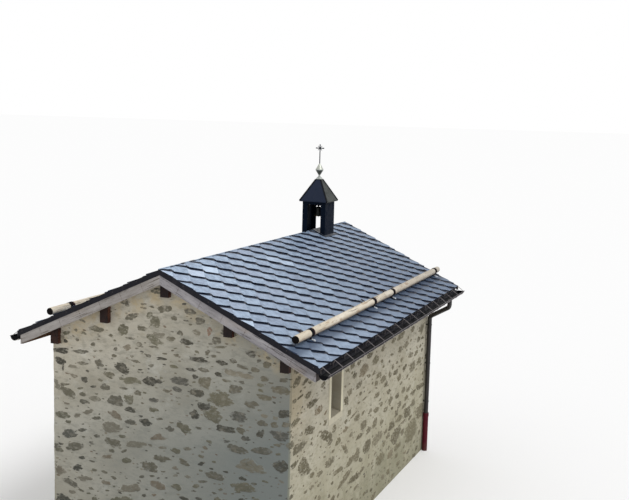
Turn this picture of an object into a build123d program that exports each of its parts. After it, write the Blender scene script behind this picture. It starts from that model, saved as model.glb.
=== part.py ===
# Small mountain chapel: rubble stone walls, a gabled slate roof on purlins and rafters,
# snow guard logs, half round gutters with downpipes, and an open bell turret on the ridge.
# Millimetres. +Z up, X across the gables, Y along the ridge, origin at the bottom centre.

import os
from math import atan, cos, degrees, radians, sin

from build123d import *

os.makedirs("parts", exist_ok=True)

# Walls
wall_width = 4460.0            # over the outer faces of the side walls
wall_length = 7930.0           # over the outer faces of the gables
wall_thick = 500.0             # rubble stone laid in lime mortar

# Roof, measured on the top of the slates
slate_half_span = 2800.0       # from the ridge to the slate tips at the eave
eave_height = 3833.0           # slate tips above the lowest ground
ridge_rise = 1302.0            # ridge above the slate tips
near_overhang = 250.0          # verge beyond the near gable
far_overhang = 420.0           # verge beyond the entrance gable
slate_thick = 40.0             # slates at their double lap
board_thick = 30.0
slate_drip = 65.0              # slate tips beyond the fascia

# Roof timbers
rafter_width = 100.0
rafter_depth = 140.0
rafter_count = 9
rafter_clear = 15.0            # outer rafters from the gables
purlin_width = 150.0
purlin_depth = 270.0
purlin_set_back = 150.0        # verge to the purlin ends
mid_purlin_x = 1155.0
plate_inset = 5.0              # wall plate behind the outer wall face
fascia_thick = 25.0
barge_thick = 30.0
barge_drop = 270.0             # lower edge, plumb below the slates
verge_reveal = 20.0            # slate ends that show above the verge flashing
verge_drop = 112.0             # lower edge of the verge flashing
sheet = 4.0                    # flashings, with their folds

# Floor, doorway and windows
floor_thick = 150.0
door_width = 1100.0
door_head = 2250.0
door_set_back = 180.0          # outer wall face to the frame
door_frame_width = 90.0
door_frame_depth = 110.0
door_leaf_thick = 55.0
door_gap = 4.0
window_width = 500.0
window_sill = 2400.0
window_head = 3280.0
window_from_near = 2030.0      # near gable face to the middle of the window
window_set_back = 260.0        # outer wall face to the frame
window_sill_fall = 75.0
window_splay = 170.0           # widening of each inner jamb
window_frame_width = 55.0
window_frame_depth = 60.0
glass_thick = 6.0
surround_width = 90.0
surround_foot = 110.0          # below the sill
surround_proud = 12.0

# Gutters and downpipes
gutter_radius = 78.0
gutter_sheet = 4.0
gutter_centre_out = 67.0       # beyond the slate tips
gutter_rim_drop = 118.0        # rim below the slate tips
gutter_count = 3               # lengths of gutter, end to end
bead_radius = 8.0
bracket_pitch = 526.0          # from the middle outwards, as many as fit
bracket_width = 18.0
bracket_bar = 5.0
bracket_leg = 80.0
bracket_clear = 10.0           # strap below the slates
bracket_gap = 3.0              # strap beyond the slate tips
fit_gap = 0.3                  # round pieces that seat on each other
pipe_radius = 50.0
pipe_wall = 3.0
pipe_bend = 110.0
pipe_off_wall = 75.0           # pipe axis from the wall face
pipe_from_corner = 110.0       # pipe axis from the far gable face
outlet_from_verge = 1000.0     # far verge to the gutter outlet
outlet_drop = 140.0            # straight below the gutter
neck_fall = 347.0              # fall of the swan neck
standpipe_height = 895.0
standpipe_radius = 60.0
socket_radius = 68.0
socket_depth = 75.0
socket_taper = 20.0
standpipe_wall = 12.0
clip_count = 3
clip_above_socket = 276.0
clip_below_neck = 190.0
clip_height = 30.0
clip_bar = 5.0

# Snow guard logs
log_radius = 68.0
log_clear = 18.0               # under the log, above the slates
log_from_eave = 505.0          # log axis to the slate tips, level
log_near_margin = 233.0        # verge to the end of the log
log_far_margin = 27.0
log_meet_y = 267.0
log_joint = 6.0
strap_from_ends = (620.0, 586.0, 585.0, 287.0)
strap_width = 40.0
strap_bar = 6.0
strap_tail = 230.0
strap_toe = 135.0
strap_bolt_radius = 15.0
strap_bolt_height = 16.0

# Bell turret
turret_from_verge = 1760.0     # far verge to the turret axis
turret_width = 540.0
turret_height = 600.0          # its walls above the ridge
turret_wall = 30.0
turret_post = 112.0
turret_lintel = 60.0
saddle_margin = 50.0
saddle_sheet = 6.0
cap_overhang = 56.0
cap_edge = 20.0
cap_rise = 466.0
cap_top_half = 58.0
cap_shell = 22.0
hip_radius = 14.0
finial_base_radius = 76.0
finial_base_height = 69.0
finial_neck_radius = 20.0
finial_neck_height = 19.0
finial_radius = 88.0
finial_lower_cone = 117.0
finial_upper_cone = 136.0
finial_band = 12.0
finial_tip_radius = 14.0
cross_rod_radius = 11.0
cross_height = 422.0
cross_bar_drop = 85.0          # bar below the top of the rod
cross_arm = 99.0
cross_knob = 14.0
cross_ray = 46.0               # four short rays at the crossing
cross_ray_radius = 6.0

# Bell
axle_drop = 73.0               # below the head of the turret walls
axle_radius = 12.0
axle_end_gap = 6.0
running_gap = 0.05
bearing_width = 60.0
bearing_height = 56.0
bearing_thick = 26.0
yoke_width = 190.0
yoke_depth = 50.0
yoke_above = 40.0
yoke_below = 30.0
bell_mouth_radius = 104.0
bell_height = 205.0
bell_wall = 9.0
bell_neck = 22.0               # canon between the yoke and the crown
canon_radius = 16.0
clapper_drop = 26.0            # pivot below the crown
clapper_pin_radius = 4.0
clapper_eye_radius = 11.0
clapper_eye_width = 10.0
lug_gap = 0.5
lug_thick = 7.0
clapper_rod_radius = 5.0
clapper_ball_radius = 17.0
clapper_length = 162.0         # pivot to the centre of the ball
clapper_tail = 40.0

# Worked out from the sizes above
slope = ridge_rise / slate_half_span
pitch = degrees(atan(slope))
ridge_height = eave_height + ridge_rise
half_width = wall_width / 2
inner_width = half_width - wall_thick
roof_half_length = (near_overhang + wall_length + far_overhang) / 2
near_face = -roof_half_length + near_overhang
far_face = roof_half_length - far_overhang
near_inner = near_face + wall_thick
far_inner = far_face - wall_thick
cover = slate_thick + board_thick
fascia_face = slate_half_span - slate_drip
fascia_back = fascia_face - fascia_thick
plate_x = half_width - plate_inset - purlin_width / 2
cos_pitch = cos(radians(pitch))
sin_pitch = sin(radians(pitch))
window_centre_y = near_face + window_from_near
outlet_y = roof_half_length - outlet_from_verge
turret_y = roof_half_length - turret_from_verge


def slate_top(x):
    """Height of the top of the slates at x."""
    return ridge_height - abs(x) * slope


def under(x, depth):
    """Height at x of a plane that lies this far below the slates, square to them."""
    return slate_top(x) - depth / cos_pitch


def prism(points, y0, y1):
    """Extrude a closed outline of (x, z) points along Y."""
    outline = Polyline(*[(x, y0, z) for x, z in points], close=True)
    return extrude(make_face(outline), amount=y1 - y0, dir=(0, 1, 0))


def block(x0, x1, y0, y1, z0, z1):
    """Rectangular block between two corners."""
    return Pos((x0 + x1) / 2, (y0 + y1) / 2, (z0 + z1) / 2) * Box(x1 - x0, y1 - y0, z1 - z0)


def slope_band(x0, x1, top, bottom, y0, y1):
    """Slab that follows the right slope between two depths below the slates."""
    return prism(
        [(x0, under(x0, top)), (x1, under(x1, top)), (x1, under(x1, bottom)), (x0, under(x0, bottom))],
        y0, y1,
    )


def round_bar(start, end, radius):
    """Round bar between two points."""
    run = Vector(end) - Vector(start)
    return Plane(origin=start, z_dir=run) * Cylinder(
        radius, run.length, align=(Align.CENTER, Align.CENTER, Align.MIN)
    )


def left_of(piece):
    """The same piece on the other side of the ridge."""
    return mirror(piece, about=Plane.YZ)


def save(name, *pieces):
    """Write one node, of one piece or of several like pieces."""
    solids = [s for piece in pieces for s in piece.solids()]
    shape = solids[0] if len(solids) == 1 else Compound(children=solids)
    export_step(shape, f"parts/{name}.step")


# Purlins and wall plates: squared logs that carry the rafters and end just outside the gables.
def purlin(x):
    top = under(x, cover + rafter_depth)
    reach = roof_half_length - purlin_set_back
    return block(
        x - purlin_width / 2, x + purlin_width / 2, -reach, reach, top - purlin_depth, top
    )


ridge_purlin = purlin(0)
mid_purlin = purlin(mid_purlin_x)
wall_plate = purlin(plate_x)
timbers = [ridge_purlin, mid_purlin, left_of(mid_purlin), wall_plate, left_of(wall_plate)]

save("ridge_purlin", ridge_purlin)
save("mid_purlins", mid_purlin, left_of(mid_purlin))
save("wall_plates", wall_plate, left_of(wall_plate))


# Rafters: notched over the purlins, plumb cut at the ridge and behind the fascia.
rafter = slope_band(0, fascia_back, cover, cover + rafter_depth, -rafter_width / 2, rafter_width / 2)
rafter -= ridge_purlin
rafter -= mid_purlin
rafter -= wall_plate
rafter_first = near_inner + rafter_clear + rafter_width / 2
rafter_last = far_inner - rafter_clear - rafter_width / 2
rafter_pitch = (rafter_last - rafter_first) / (rafter_count - 1)
rafter_ys = [rafter_first + i * rafter_pitch for i in range(rafter_count)]
rafters_right = [Pos(0, y, 0) * rafter for y in rafter_ys]
rafters_left = [left_of(r) for r in rafters_right]

save("rafters", *rafters_right, *rafters_left)


# Gable walls: stone up to the roof boards, with pockets for the purlins.
gable_outline = [
    (-half_width, 0),
    (half_width, 0),
    (half_width, under(half_width, cover)),
    (0, under(0, cover)),
    (-half_width, under(half_width, cover)),
]
near_gable = prism(gable_outline, near_face, near_inner)
far_gable = prism(gable_outline, far_inner, far_face)
for timber in timbers:
    near_gable -= timber
    far_gable -= timber
far_gable -= block(-door_width / 2, door_width / 2, far_inner - 1, far_face + 1, -1, door_head)

save("near_gable_wall", near_gable)
save("far_gable_wall", far_gable)


# Side walls: stone between the gables, filled up between the rafters, with one deep window each.
window_y0 = window_centre_y - window_width / 2
window_y1 = window_centre_y + window_width / 2
window_face = half_width - window_set_back
window_back = window_face - window_frame_depth
sill_top = window_sill + window_sill_fall
window_recess = prism(
    [
        (2 * half_width - window_face, window_sill - window_sill_fall),
        (2 * half_width - window_face, window_head),
        (window_face, window_head),
        (window_face, sill_top),
    ],
    window_y0, window_y1,
)
window_seat = block(window_back, window_face, window_y0, window_y1, sill_top, window_head)
inner_jamb = Plane(origin=(window_back, window_centre_y, (sill_top + window_head) / 2), z_dir=(-1, 0, 0))
inner_depth = window_back - inner_width
window_inner = loft(
    [
        (inner_jamb * Rectangle(window_head - sill_top, window_width)).face(),
        (
            inner_jamb.offset(inner_depth)
            * Rectangle(window_head - sill_top, window_width + 2 * window_splay)
        ).face(),
    ]
)

side_wall = prism(
    [
        (inner_width, 0),
        (half_width, 0),
        (half_width, under(half_width, cover)),
        (inner_width, under(inner_width, cover)),
    ],
    near_inner, far_inner,
)
side_wall -= wall_plate
for r in rafters_right:
    side_wall -= r
side_wall -= window_recess
side_wall -= window_seat
side_wall -= window_inner

save("right_side_wall", side_wall)
save("left_side_wall", left_of(side_wall))


# Window surrounds: smooth mortar bands round the openings, a little proud of the stone.
surround = block(
    half_width, half_width + surround_proud,
    window_y0 - surround_width, window_y1 + surround_width,
    window_sill - surround_foot, window_head + surround_width,
)
surround -= window_recess
save("window_surrounds", surround, left_of(surround))


# Windows: a timber frame with one mullion and one transom, and a pane behind the bars.
frame_mid_z = (sill_top + window_head) / 2
window_frame = window_seat - block(
    window_back - 1, window_face + 1,
    window_y0 + window_frame_width, window_y1 - window_frame_width,
    sill_top + window_frame_width, window_head - window_frame_width,
)
bar_back = window_back + window_frame_depth / 2 + glass_thick / 2
bar_half = window_frame_width / 4
window_frame += block(
    bar_back, window_face, window_centre_y - bar_half, window_centre_y + bar_half,
    sill_top + window_frame_width, window_head - window_frame_width,
)
window_frame += block(
    bar_back, window_face, window_y0 + window_frame_width, window_y1 - window_frame_width,
    frame_mid_z - bar_half, frame_mid_z + bar_half,
)
pane = block(
    bar_back - glass_thick, bar_back,
    window_y0 + window_frame_width, window_y1 - window_frame_width,
    sill_top + window_frame_width, window_head - window_frame_width,
)
save("window_frames", window_frame, left_of(window_frame))
save("window_glass", pane, left_of(pane))


# Floor and doorway: a stone floor, a threshold through the wall, a frame and a closed plank door.
save("floor", block(-inner_width, inner_width, near_inner, far_inner, 0, floor_thick))
save(
    "door_threshold",
    block(-door_width / 2, door_width / 2, far_inner, far_face, 0, floor_thick),
)
frame_y1 = far_face - door_set_back
frame_y0 = frame_y1 - door_frame_depth
door_side = door_width / 2 - door_frame_width
door_top = door_head - door_frame_width
door_frame = block(-door_width / 2, door_width / 2, frame_y0, frame_y1, floor_thick, door_head)
door_frame -= block(-door_side, door_side, frame_y0 - 1, frame_y1 + 1, floor_thick - 1, door_top)
door_stop = door_frame_width / 5
stop_y1 = frame_y1 - door_leaf_thick
stop = block(-door_side, door_side, frame_y0, stop_y1, floor_thick, door_top)
stop -= block(
    -door_side + door_stop, door_side - door_stop, frame_y0 - 1, stop_y1 + 1,
    floor_thick - 1, door_top - door_stop,
)
door_frame += stop
save("door_frame", door_frame)

door_leaf = block(
    -door_side + door_gap, door_side - door_gap, stop_y1, frame_y1,
    floor_thick + door_gap, door_top - door_gap,
)
save("door_leaf", door_leaf)


# Roof skin: boards on the rafters and slates on the boards.
roof_boards = slope_band(0, fascia_face, slate_thick, cover, -roof_half_length, roof_half_length)
slates = slope_band(0, slate_half_span, 0, slate_thick, -roof_half_length, roof_half_length)
save("roof_boards_right", roof_boards)
save("roof_boards_left", left_of(roof_boards))
save("slates_right", slates)
save("slates_left", left_of(slates))


# Bargeboards: one board down each slope, under the ends of the roof boards.
def bargeboard(y0, y1):
    return prism(
        [
            (0, under(0, cover)),
            (fascia_face, under(fascia_face, cover)),
            (fascia_face, slate_top(fascia_face) - barge_drop),
            (0, slate_top(0) - barge_drop),
        ],
        y0, y1,
    )


near_barge = bargeboard(-roof_half_length, -roof_half_length + barge_thick)
far_barge = bargeboard(roof_half_length - barge_thick, roof_half_length)
save("near_bargeboards", near_barge, left_of(near_barge))
save("far_bargeboards", far_barge, left_of(far_barge))

# Fascias: boards along the eaves, between the bargeboards.
fascia_end = roof_half_length - barge_thick
fascia = prism(
    [
        (fascia_back, under(fascia_back, cover)),
        (fascia_face, under(fascia_face, cover)),
        (fascia_face, slate_top(fascia_face) - barge_drop),
        (fascia_back, slate_top(fascia_face) - barge_drop),
    ],
    -fascia_end, fascia_end,
)
save("fascia_boards", fascia, left_of(fascia))


# Verge flashings: folded metal below the slate ends and over the top of the bargeboards.
def verge_flashing(y0, y1):
    tip = slate_half_span
    return prism(
        [
            (0, ridge_height - verge_reveal),
            (tip, eave_height - verge_reveal),
            (tip, eave_height - verge_drop),
            (0, ridge_height - verge_drop),
            (-tip, eave_height - verge_drop),
            (-tip, eave_height - verge_reveal),
        ],
        y0, y1,
    )


save("near_verge_flashing", verge_flashing(-roof_half_length - sheet, -roof_half_length))
save("far_verge_flashing", verge_flashing(roof_half_length, roof_half_length + sheet))


# Gutters: half round lengths with a rolled front bead, closed ends and an outlet over the downpipe.
gutter_x = slate_half_span + gutter_centre_out
gutter_rim = eave_height - gutter_rim_drop
gutter_bottom = gutter_rim - gutter_radius
gutter_axis = (gutter_x, gutter_rim)
bead_x = gutter_x + gutter_radius + bead_radius / 2


def along_y(centre, radius, y0, y1):
    """Round bar along Y through (x, z)."""
    return round_bar((centre[0], y0, centre[1]), (centre[0], y1, centre[1]), radius)


def gutter_length(y0, y1):
    """One length of gutter, closed where it ends at a verge."""
    inside = (
        y0 + (gutter_sheet if y0 <= -roof_half_length else -1),
        y1 - (gutter_sheet if y1 >= roof_half_length else -1),
    )
    trough = along_y(gutter_axis, gutter_radius, y0, y1)
    trough -= along_y(gutter_axis, gutter_radius - gutter_sheet, *inside)
    trough -= block(
        gutter_x - 2 * gutter_radius, gutter_x + 2 * gutter_radius,
        y0 - 1, y1 + 1, gutter_rim, gutter_rim + 2 * gutter_radius,
    )
    trough += along_y((bead_x, gutter_rim), bead_radius, y0, y1)
    if y0 < outlet_y < y1:
        trough -= round_bar(
            (gutter_x, outlet_y, gutter_bottom - 10), (gutter_x, outlet_y, gutter_rim),
            pipe_radius - pipe_wall,
        )
    return trough


gutter_run = 2 * roof_half_length / gutter_count
gutters = [
    gutter_length(-roof_half_length + i * gutter_run, -roof_half_length + (i + 1) * gutter_run)
    for i in range(gutter_count)
]
save("gutter_right", *gutters)
save("gutter_left", *[left_of(g) for g in gutters])

# Gutter brackets: flat bar round the gutter, and a strap from the fascia that turns up at the
# slate tips and runs down to the bead.
ring_out = gutter_radius + fit_gap + bracket_bar
strap_low = gutter_rim + bead_radius
strap_back = under(fascia_face, slate_thick) - bracket_clear
strap_front = under(slate_half_span, slate_thick) - bracket_clear
strap_x = slate_half_span + bracket_gap
strap_top = eave_height - bracket_gap
ring_back = gutter_x - ring_out
bracket = along_y(gutter_axis, ring_out, 0, bracket_width)
bracket -= along_y(gutter_axis, gutter_radius + fit_gap, -1, bracket_width + 1)
bracket -= block(
    gutter_x - 2 * ring_out, gutter_x + 2 * ring_out, -1, bracket_width + 1,
    gutter_rim, gutter_rim + 2 * ring_out,
)
bracket -= along_y((bead_x, gutter_rim), bead_radius + fit_gap, -1, bracket_width + 1)
bracket += prism(
    [
        (fascia_face, strap_back),
        (strap_x + bracket_bar, strap_front),
        (strap_x + bracket_bar, strap_front - bracket_bar),
        (fascia_face, strap_back - bracket_bar),
    ],
    0, bracket_width,
)
bracket += block(strap_x, strap_x + bracket_bar, 0, bracket_width, strap_front - bracket_bar, strap_top)
bracket += prism(
    [
        (strap_x, strap_top),
        (strap_x, strap_top - 2 * bracket_bar),
        (bead_x, strap_low),
        (bead_x, strap_low + bracket_bar),
    ],
    0, bracket_width,
)
bracket += block(
    ring_back, ring_back + bracket_bar, 0, bracket_width, gutter_rim, strap_front + bracket_bar
)
bracket += block(
    fascia_face, fascia_face + bracket_bar, 0, bracket_width,
    strap_back - bracket_leg, strap_back - bracket_bar / 2,
)
brackets_each_way = int((roof_half_length - bracket_width) // bracket_pitch)
bracket_ys = [
    i * bracket_pitch - bracket_width / 2 for i in range(-brackets_each_way, brackets_each_way + 1)
]
brackets = [Pos(0, y, 0) * bracket for y in bracket_ys]
save("gutter_brackets", *brackets, *[left_of(b) for b in brackets])


# Downpipes: from the gutter outlet by a swan neck to the corner of the side wall.
pipe_x = half_width + pipe_off_wall
pipe_y = far_face - pipe_from_corner
pipe_foot = standpipe_height - socket_depth
neck_foot = gutter_bottom - outlet_drop - neck_fall
pipe_path = FilletPolyline(
    (gutter_x, outlet_y, gutter_bottom + pipe_radius),
    (gutter_x, outlet_y, gutter_bottom - outlet_drop),
    (pipe_x, pipe_y, neck_foot),
    (pipe_x, pipe_y, pipe_foot),
    radius=pipe_bend,
)
pipe_start = Plane(origin=pipe_path @ 0, z_dir=pipe_path % 0)
downpipe = sweep(pipe_start * Circle(pipe_radius), path=pipe_path)
downpipe -= sweep(pipe_start * Circle(pipe_radius - pipe_wall), path=pipe_path)
downpipe -= along_y(
    gutter_axis, gutter_radius + fit_gap, outlet_y - 2 * pipe_radius, outlet_y + 2 * pipe_radius
)
save("downpipe_right", downpipe)
save("downpipe_left", left_of(downpipe))

# Standpipes: cast iron, with a socket that takes the end of the downpipe.
socket_bore = pipe_radius + fit_gap
bore = standpipe_radius - standpipe_wall
standpipe = Pos(pipe_x, pipe_y, 0) * revolve(
    make_face(
        Polyline(
            (bore, 0, 0),
            (standpipe_radius, 0, 0),
            (standpipe_radius, 0, standpipe_height - socket_depth - socket_taper),
            (socket_radius, 0, standpipe_height - socket_depth),
            (socket_radius, 0, standpipe_height),
            (socket_bore, 0, standpipe_height),
            (socket_bore, 0, pipe_foot),
            (bore, 0, pipe_foot),
            close=True,
        )
    ),
    axis=Axis.Z,
)
save("standpipes", standpipe, left_of(standpipe))

# Pipe clips: a ring round the pipe with a stem into the wall.
clip = Cylinder(pipe_radius + fit_gap + clip_bar, clip_height)
clip += block(-pipe_off_wall, -pipe_radius, -clip_height / 2, clip_height / 2, -clip_height / 2,
              clip_height / 2)
clip -= Cylinder(pipe_radius + fit_gap, 2 * clip_height)
clip_low = standpipe_height + clip_above_socket
clip_step = (neck_foot - clip_below_neck - clip_low) / (clip_count - 1)
clips = [Pos(pipe_x, pipe_y, clip_low + i * clip_step) * clip for i in range(clip_count)]
save("downpipe_clips", *clips, *[left_of(c) for c in clips])


# Snow guard logs: peeled trunks end to end across each slope.
log_x = slate_half_span - log_from_eave
log_lift = log_radius + log_clear
log_foot_x = log_x - log_lift * sin_pitch
log_z = slate_top(log_foot_x) + log_lift * cos_pitch
log_near = -roof_half_length + log_near_margin
log_far = roof_half_length - log_far_margin
logs = [
    along_y((log_x, log_z), log_radius, log_near, log_meet_y - log_joint / 2),
    along_y((log_x, log_z), log_radius, log_meet_y + log_joint / 2, log_far),
]
save("snow_logs_right", *logs)
save("snow_logs_left", *[left_of(log) for log in logs])

# Log straps: a forged ring round the log on a foot that runs up under the slates above, with a
# bolt on its toe.
ring_radius = log_radius + fit_gap
strap = Rot(90, 0, 0) * Cylinder(ring_radius + strap_bar, strap_width)
strap += block(-strap_width / 2, strap_width / 2, -strap_width / 2, strap_width / 2, -log_lift, -log_radius)
strap -= Rot(90, 0, 0) * Cylinder(ring_radius, 2 * strap_width)
strap += block(
    -strap_tail, strap_toe, -strap_width / 2, strap_width / 2, -log_lift, strap_bar - log_lift
)
bolt_x = strap_toe - strap_width / 2
strap += round_bar((bolt_x, 0, -log_lift), (bolt_x, 0, strap_bolt_height - log_lift), strap_bolt_radius)
strap_ys = (
    log_near + strap_from_ends[0],
    log_meet_y - strap_from_ends[1],
    log_meet_y + strap_from_ends[2],
    log_far - strap_from_ends[3],
)
straps = [Pos(log_x, y, log_z) * Rot(0, pitch, 0) * strap for y in strap_ys]
save("snow_log_straps", *straps, *[left_of(s) for s in straps])


# Turret saddle: sheet metal folded over the ridge under the turret.
turret_half = turret_width / 2
turret_head = ridge_height + turret_height
saddle_half = turret_half + saddle_margin
saddle_rise = saddle_sheet / cos_pitch


def saddle_top(x):
    """Height of the top of the saddle at x."""
    return slate_top(x) + saddle_rise


saddle = prism(
    [
        (-saddle_half, slate_top(saddle_half)),
        (0, ridge_height),
        (saddle_half, slate_top(saddle_half)),
        (saddle_half, saddle_top(saddle_half)),
        (0, saddle_top(0)),
        (-saddle_half, saddle_top(saddle_half)),
    ],
    turret_y - saddle_half, turret_y + saddle_half,
)
save("turret_saddle", saddle)


# Turret walls: solid sides, and open ends between corner posts under a lintel.
def over_saddle(x0, x1, z1, y0, y1):
    """Upright board that stands on the saddle."""
    corners = [(x0, saddle_top(x0))]
    if x0 < 0 < x1:
        corners.append((0, saddle_top(0)))
    corners += [(x1, saddle_top(x1)), (x1, z1), (x0, z1)]
    return prism(corners, y0, y1)


post_inner = turret_half - turret_post
turret_end = over_saddle(post_inner, turret_half, turret_head, -turret_wall, 0)
turret_end += left_of(turret_end)
turret_end += block(
    -post_inner, post_inner, -turret_wall, 0, turret_head - turret_lintel, turret_head
)
save(
    "turret_end_frames",
    Pos(0, turret_y - turret_half + turret_wall, 0) * turret_end,
    Pos(0, turret_y + turret_half, 0) * turret_end,
)

turret_inner = turret_half - turret_wall
turret_side = over_saddle(
    turret_inner, turret_half, turret_head, turret_y - turret_inner, turret_y + turret_inner
)
save("turret_side_walls", turret_side, left_of(turret_side))


# Turret roof: a steep sheet metal pyramid with rolls along its hips.
cap_half = turret_half + cap_overhang
cap_eave = turret_head + cap_edge
cap_top = cap_eave + cap_rise


def square(half, z):
    """Square face about the turret axis."""
    return (Pos(0, turret_y, z) * Rectangle(2 * half, 2 * half)).face()


turret_roof = loft([square(cap_half, cap_eave), square(cap_top_half, cap_top)])
turret_roof += block(
    -cap_half, cap_half, turret_y - cap_half, turret_y + cap_half, turret_head, cap_eave
)
turret_roof -= loft(
    [square(turret_inner, turret_head), square(cap_top_half - cap_shell, cap_top - cap_shell)]
)
for sx in (-1, 1):
    for sy in (-1, 1):
        turret_roof += round_bar(
            (sx * cap_half, turret_y + sy * cap_half, cap_eave),
            (sx * cap_top_half, turret_y + sy * cap_top_half, cap_top),
            hip_radius,
        )
turret_roof -= block(
    -2 * cap_half, 2 * cap_half, turret_y - 2 * cap_half, turret_y + 2 * cap_half,
    cap_top, cap_top + cap_half,
)
save("turret_roof", turret_roof)

# Finial: a zinc cap and a double cone, turned round the turret axis.
finial_base_top = cap_top + finial_base_height
finial_neck = finial_base_top + finial_neck_height
finial_middle = finial_neck + finial_lower_cone
finial_tip = finial_middle + finial_upper_cone
finial = Pos(0, turret_y, 0) * revolve(
    make_face(
        Polyline(
            (0, 0, cap_top),
            (finial_base_radius, 0, cap_top),
            (finial_base_radius, 0, cap_top + finial_band),
            (finial_neck_radius, 0, finial_base_top),
            (finial_neck_radius, 0, finial_neck),
            (finial_radius, 0, finial_middle - finial_band / 2),
            (finial_radius, 0, finial_middle + finial_band / 2),
            (finial_tip_radius, 0, finial_tip),
            (0, 0, finial_tip),
            close=True,
        )
    ),
    axis=Axis.Z,
)
save("turret_finial", finial)

# Cross: a wrought rod and bar with small knobs on the ends and short rays between the arms.
cross_top = finial_tip + cross_height
cross_bar_height = cross_top - cross_bar_drop
cross = round_bar((0, turret_y, finial_tip), (0, turret_y, cross_top - cross_knob), cross_rod_radius)
cross += round_bar(
    (-cross_arm + cross_knob, turret_y, cross_bar_height),
    (cross_arm - cross_knob, turret_y, cross_bar_height),
    cross_rod_radius,
)
for x, z in (
    (0, cross_top - cross_knob),
    (-cross_arm + cross_knob, cross_bar_height),
    (cross_arm - cross_knob, cross_bar_height),
):
    cross += Pos(x, turret_y, z) * Sphere(cross_knob)
for sx in (-1, 1):
    for sz in (-1, 1):
        cross += round_bar(
            (0, turret_y, cross_bar_height),
            (sx * cross_ray, turret_y, cross_bar_height + sz * cross_ray),
            cross_ray_radius,
        )
save("turret_cross", cross)


# Bell bearings: blocks on the turret side walls, bored for the axle.
axle_height = turret_head - axle_drop
bearing = block(
    turret_inner - bearing_thick, turret_inner,
    turret_y - bearing_width / 2, turret_y + bearing_width / 2,
    axle_height - bearing_height / 2, axle_height + bearing_height / 2,
)
axle_end = turret_inner - axle_end_gap
bearing -= round_bar(
    (0, turret_y, axle_height), (turret_inner, turret_y, axle_height), axle_radius + running_gap
)
save("bell_bearings", bearing, left_of(bearing))

# Yoke: a hardwood block on an axle, with the bell hung below it.
yoke_base = axle_height - yoke_below
yoke = block(
    -yoke_width / 2, yoke_width / 2, turret_y - yoke_depth / 2, turret_y + yoke_depth / 2,
    yoke_base, axle_height + yoke_above,
)
yoke = chamfer(yoke.edges().filter_by(Axis.X).group_by(Axis.Z)[-1], yoke_depth / 6)
yoke += round_bar((-axle_end, turret_y, axle_height), (axle_end, turret_y, axle_height), axle_radius)
save("bell_yoke", yoke)


# Bell: bronze, cast hollow, with its canon on top and two lugs inside for the clapper pin.
crown = yoke_base - bell_neck
mouth = crown - bell_height


def bell_side(radius, foot, top):
    """Half outline of a bell from the lip up to the shoulder."""
    height = top - foot
    return Spline(
        (radius, 0, foot),
        (radius * 0.81, 0, foot + height * 0.19),
        (radius * 0.66, 0, foot + height * 0.52),
        (radius * 0.56, 0, foot + height * 0.88),
    )


def bell_body(radius, foot, top):
    """Turned body under that outline, closed at the crown."""
    side = bell_side(radius, foot, top)
    shoulder = side @ 1
    crown_edge = (radius * 0.42, 0, top)
    outline = [
        side,
        Line(shoulder, crown_edge),
        Line(crown_edge, (0, 0, top)),
        Line((0, 0, top), (0, 0, foot)),
        Line((0, 0, foot), side @ 0),
    ]
    return revolve(make_face(outline), axis=Axis.Z)


inner_crown = crown - bell_wall
bell = bell_body(bell_mouth_radius, mouth, crown)
bell -= bell_body(bell_mouth_radius - bell_wall, mouth - 1, inner_crown)
bell += round_bar((0, 0, inner_crown), (0, 0, yoke_base), canon_radius)
pivot = inner_crown - clapper_drop
for side in (-1, 1):
    lug_x = side * (clapper_eye_width / 2 + lug_gap + lug_thick / 2)
    bell += Pos(lug_x, 0, (pivot - clapper_eye_radius + inner_crown) / 2) * Box(
        lug_thick, 2 * clapper_eye_radius, inner_crown - pivot + clapper_eye_radius
    )
pin_reach = clapper_eye_width / 2 + lug_gap + lug_thick
bell += round_bar((-pin_reach, 0, pivot), (pin_reach, 0, pivot), clapper_pin_radius)
save("bell", Pos(0, turret_y, 0) * bell)

# Clapper: a forged rod with an eye on the pin, a striking ball and a tail.
clapper = round_bar(
    (-clapper_eye_width / 2, 0, pivot), (clapper_eye_width / 2, 0, pivot), clapper_eye_radius
)
clapper += round_bar(
    (0, 0, pivot - clapper_pin_radius - 2), (0, 0, pivot - clapper_length - clapper_tail),
    clapper_rod_radius,
)
clapper += Pos(0, 0, pivot - clapper_length) * Sphere(clapper_ball_radius)
clapper -= round_bar((-pin_reach, 0, pivot), (pin_reach, 0, pivot), clapper_pin_radius + running_gap)
save("clapper", Pos(0, turret_y, 0) * clapper)
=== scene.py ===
import math

import bmesh
import bpy
import numpy as np
from mathutils import Matrix, Vector


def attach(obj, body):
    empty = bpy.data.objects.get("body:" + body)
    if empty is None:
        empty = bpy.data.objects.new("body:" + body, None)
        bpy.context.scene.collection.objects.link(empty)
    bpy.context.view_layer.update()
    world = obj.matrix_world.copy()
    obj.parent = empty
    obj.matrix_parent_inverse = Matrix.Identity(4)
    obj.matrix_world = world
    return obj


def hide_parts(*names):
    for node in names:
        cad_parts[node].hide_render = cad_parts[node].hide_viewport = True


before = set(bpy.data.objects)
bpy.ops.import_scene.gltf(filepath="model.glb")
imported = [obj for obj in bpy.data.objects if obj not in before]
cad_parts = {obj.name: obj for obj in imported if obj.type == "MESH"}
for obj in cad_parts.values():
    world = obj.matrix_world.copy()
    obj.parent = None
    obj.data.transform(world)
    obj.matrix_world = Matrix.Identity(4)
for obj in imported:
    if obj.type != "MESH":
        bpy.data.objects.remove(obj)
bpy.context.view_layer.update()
scene = bpy.context.scene
scene.view_settings.view_transform = "Standard"


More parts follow.
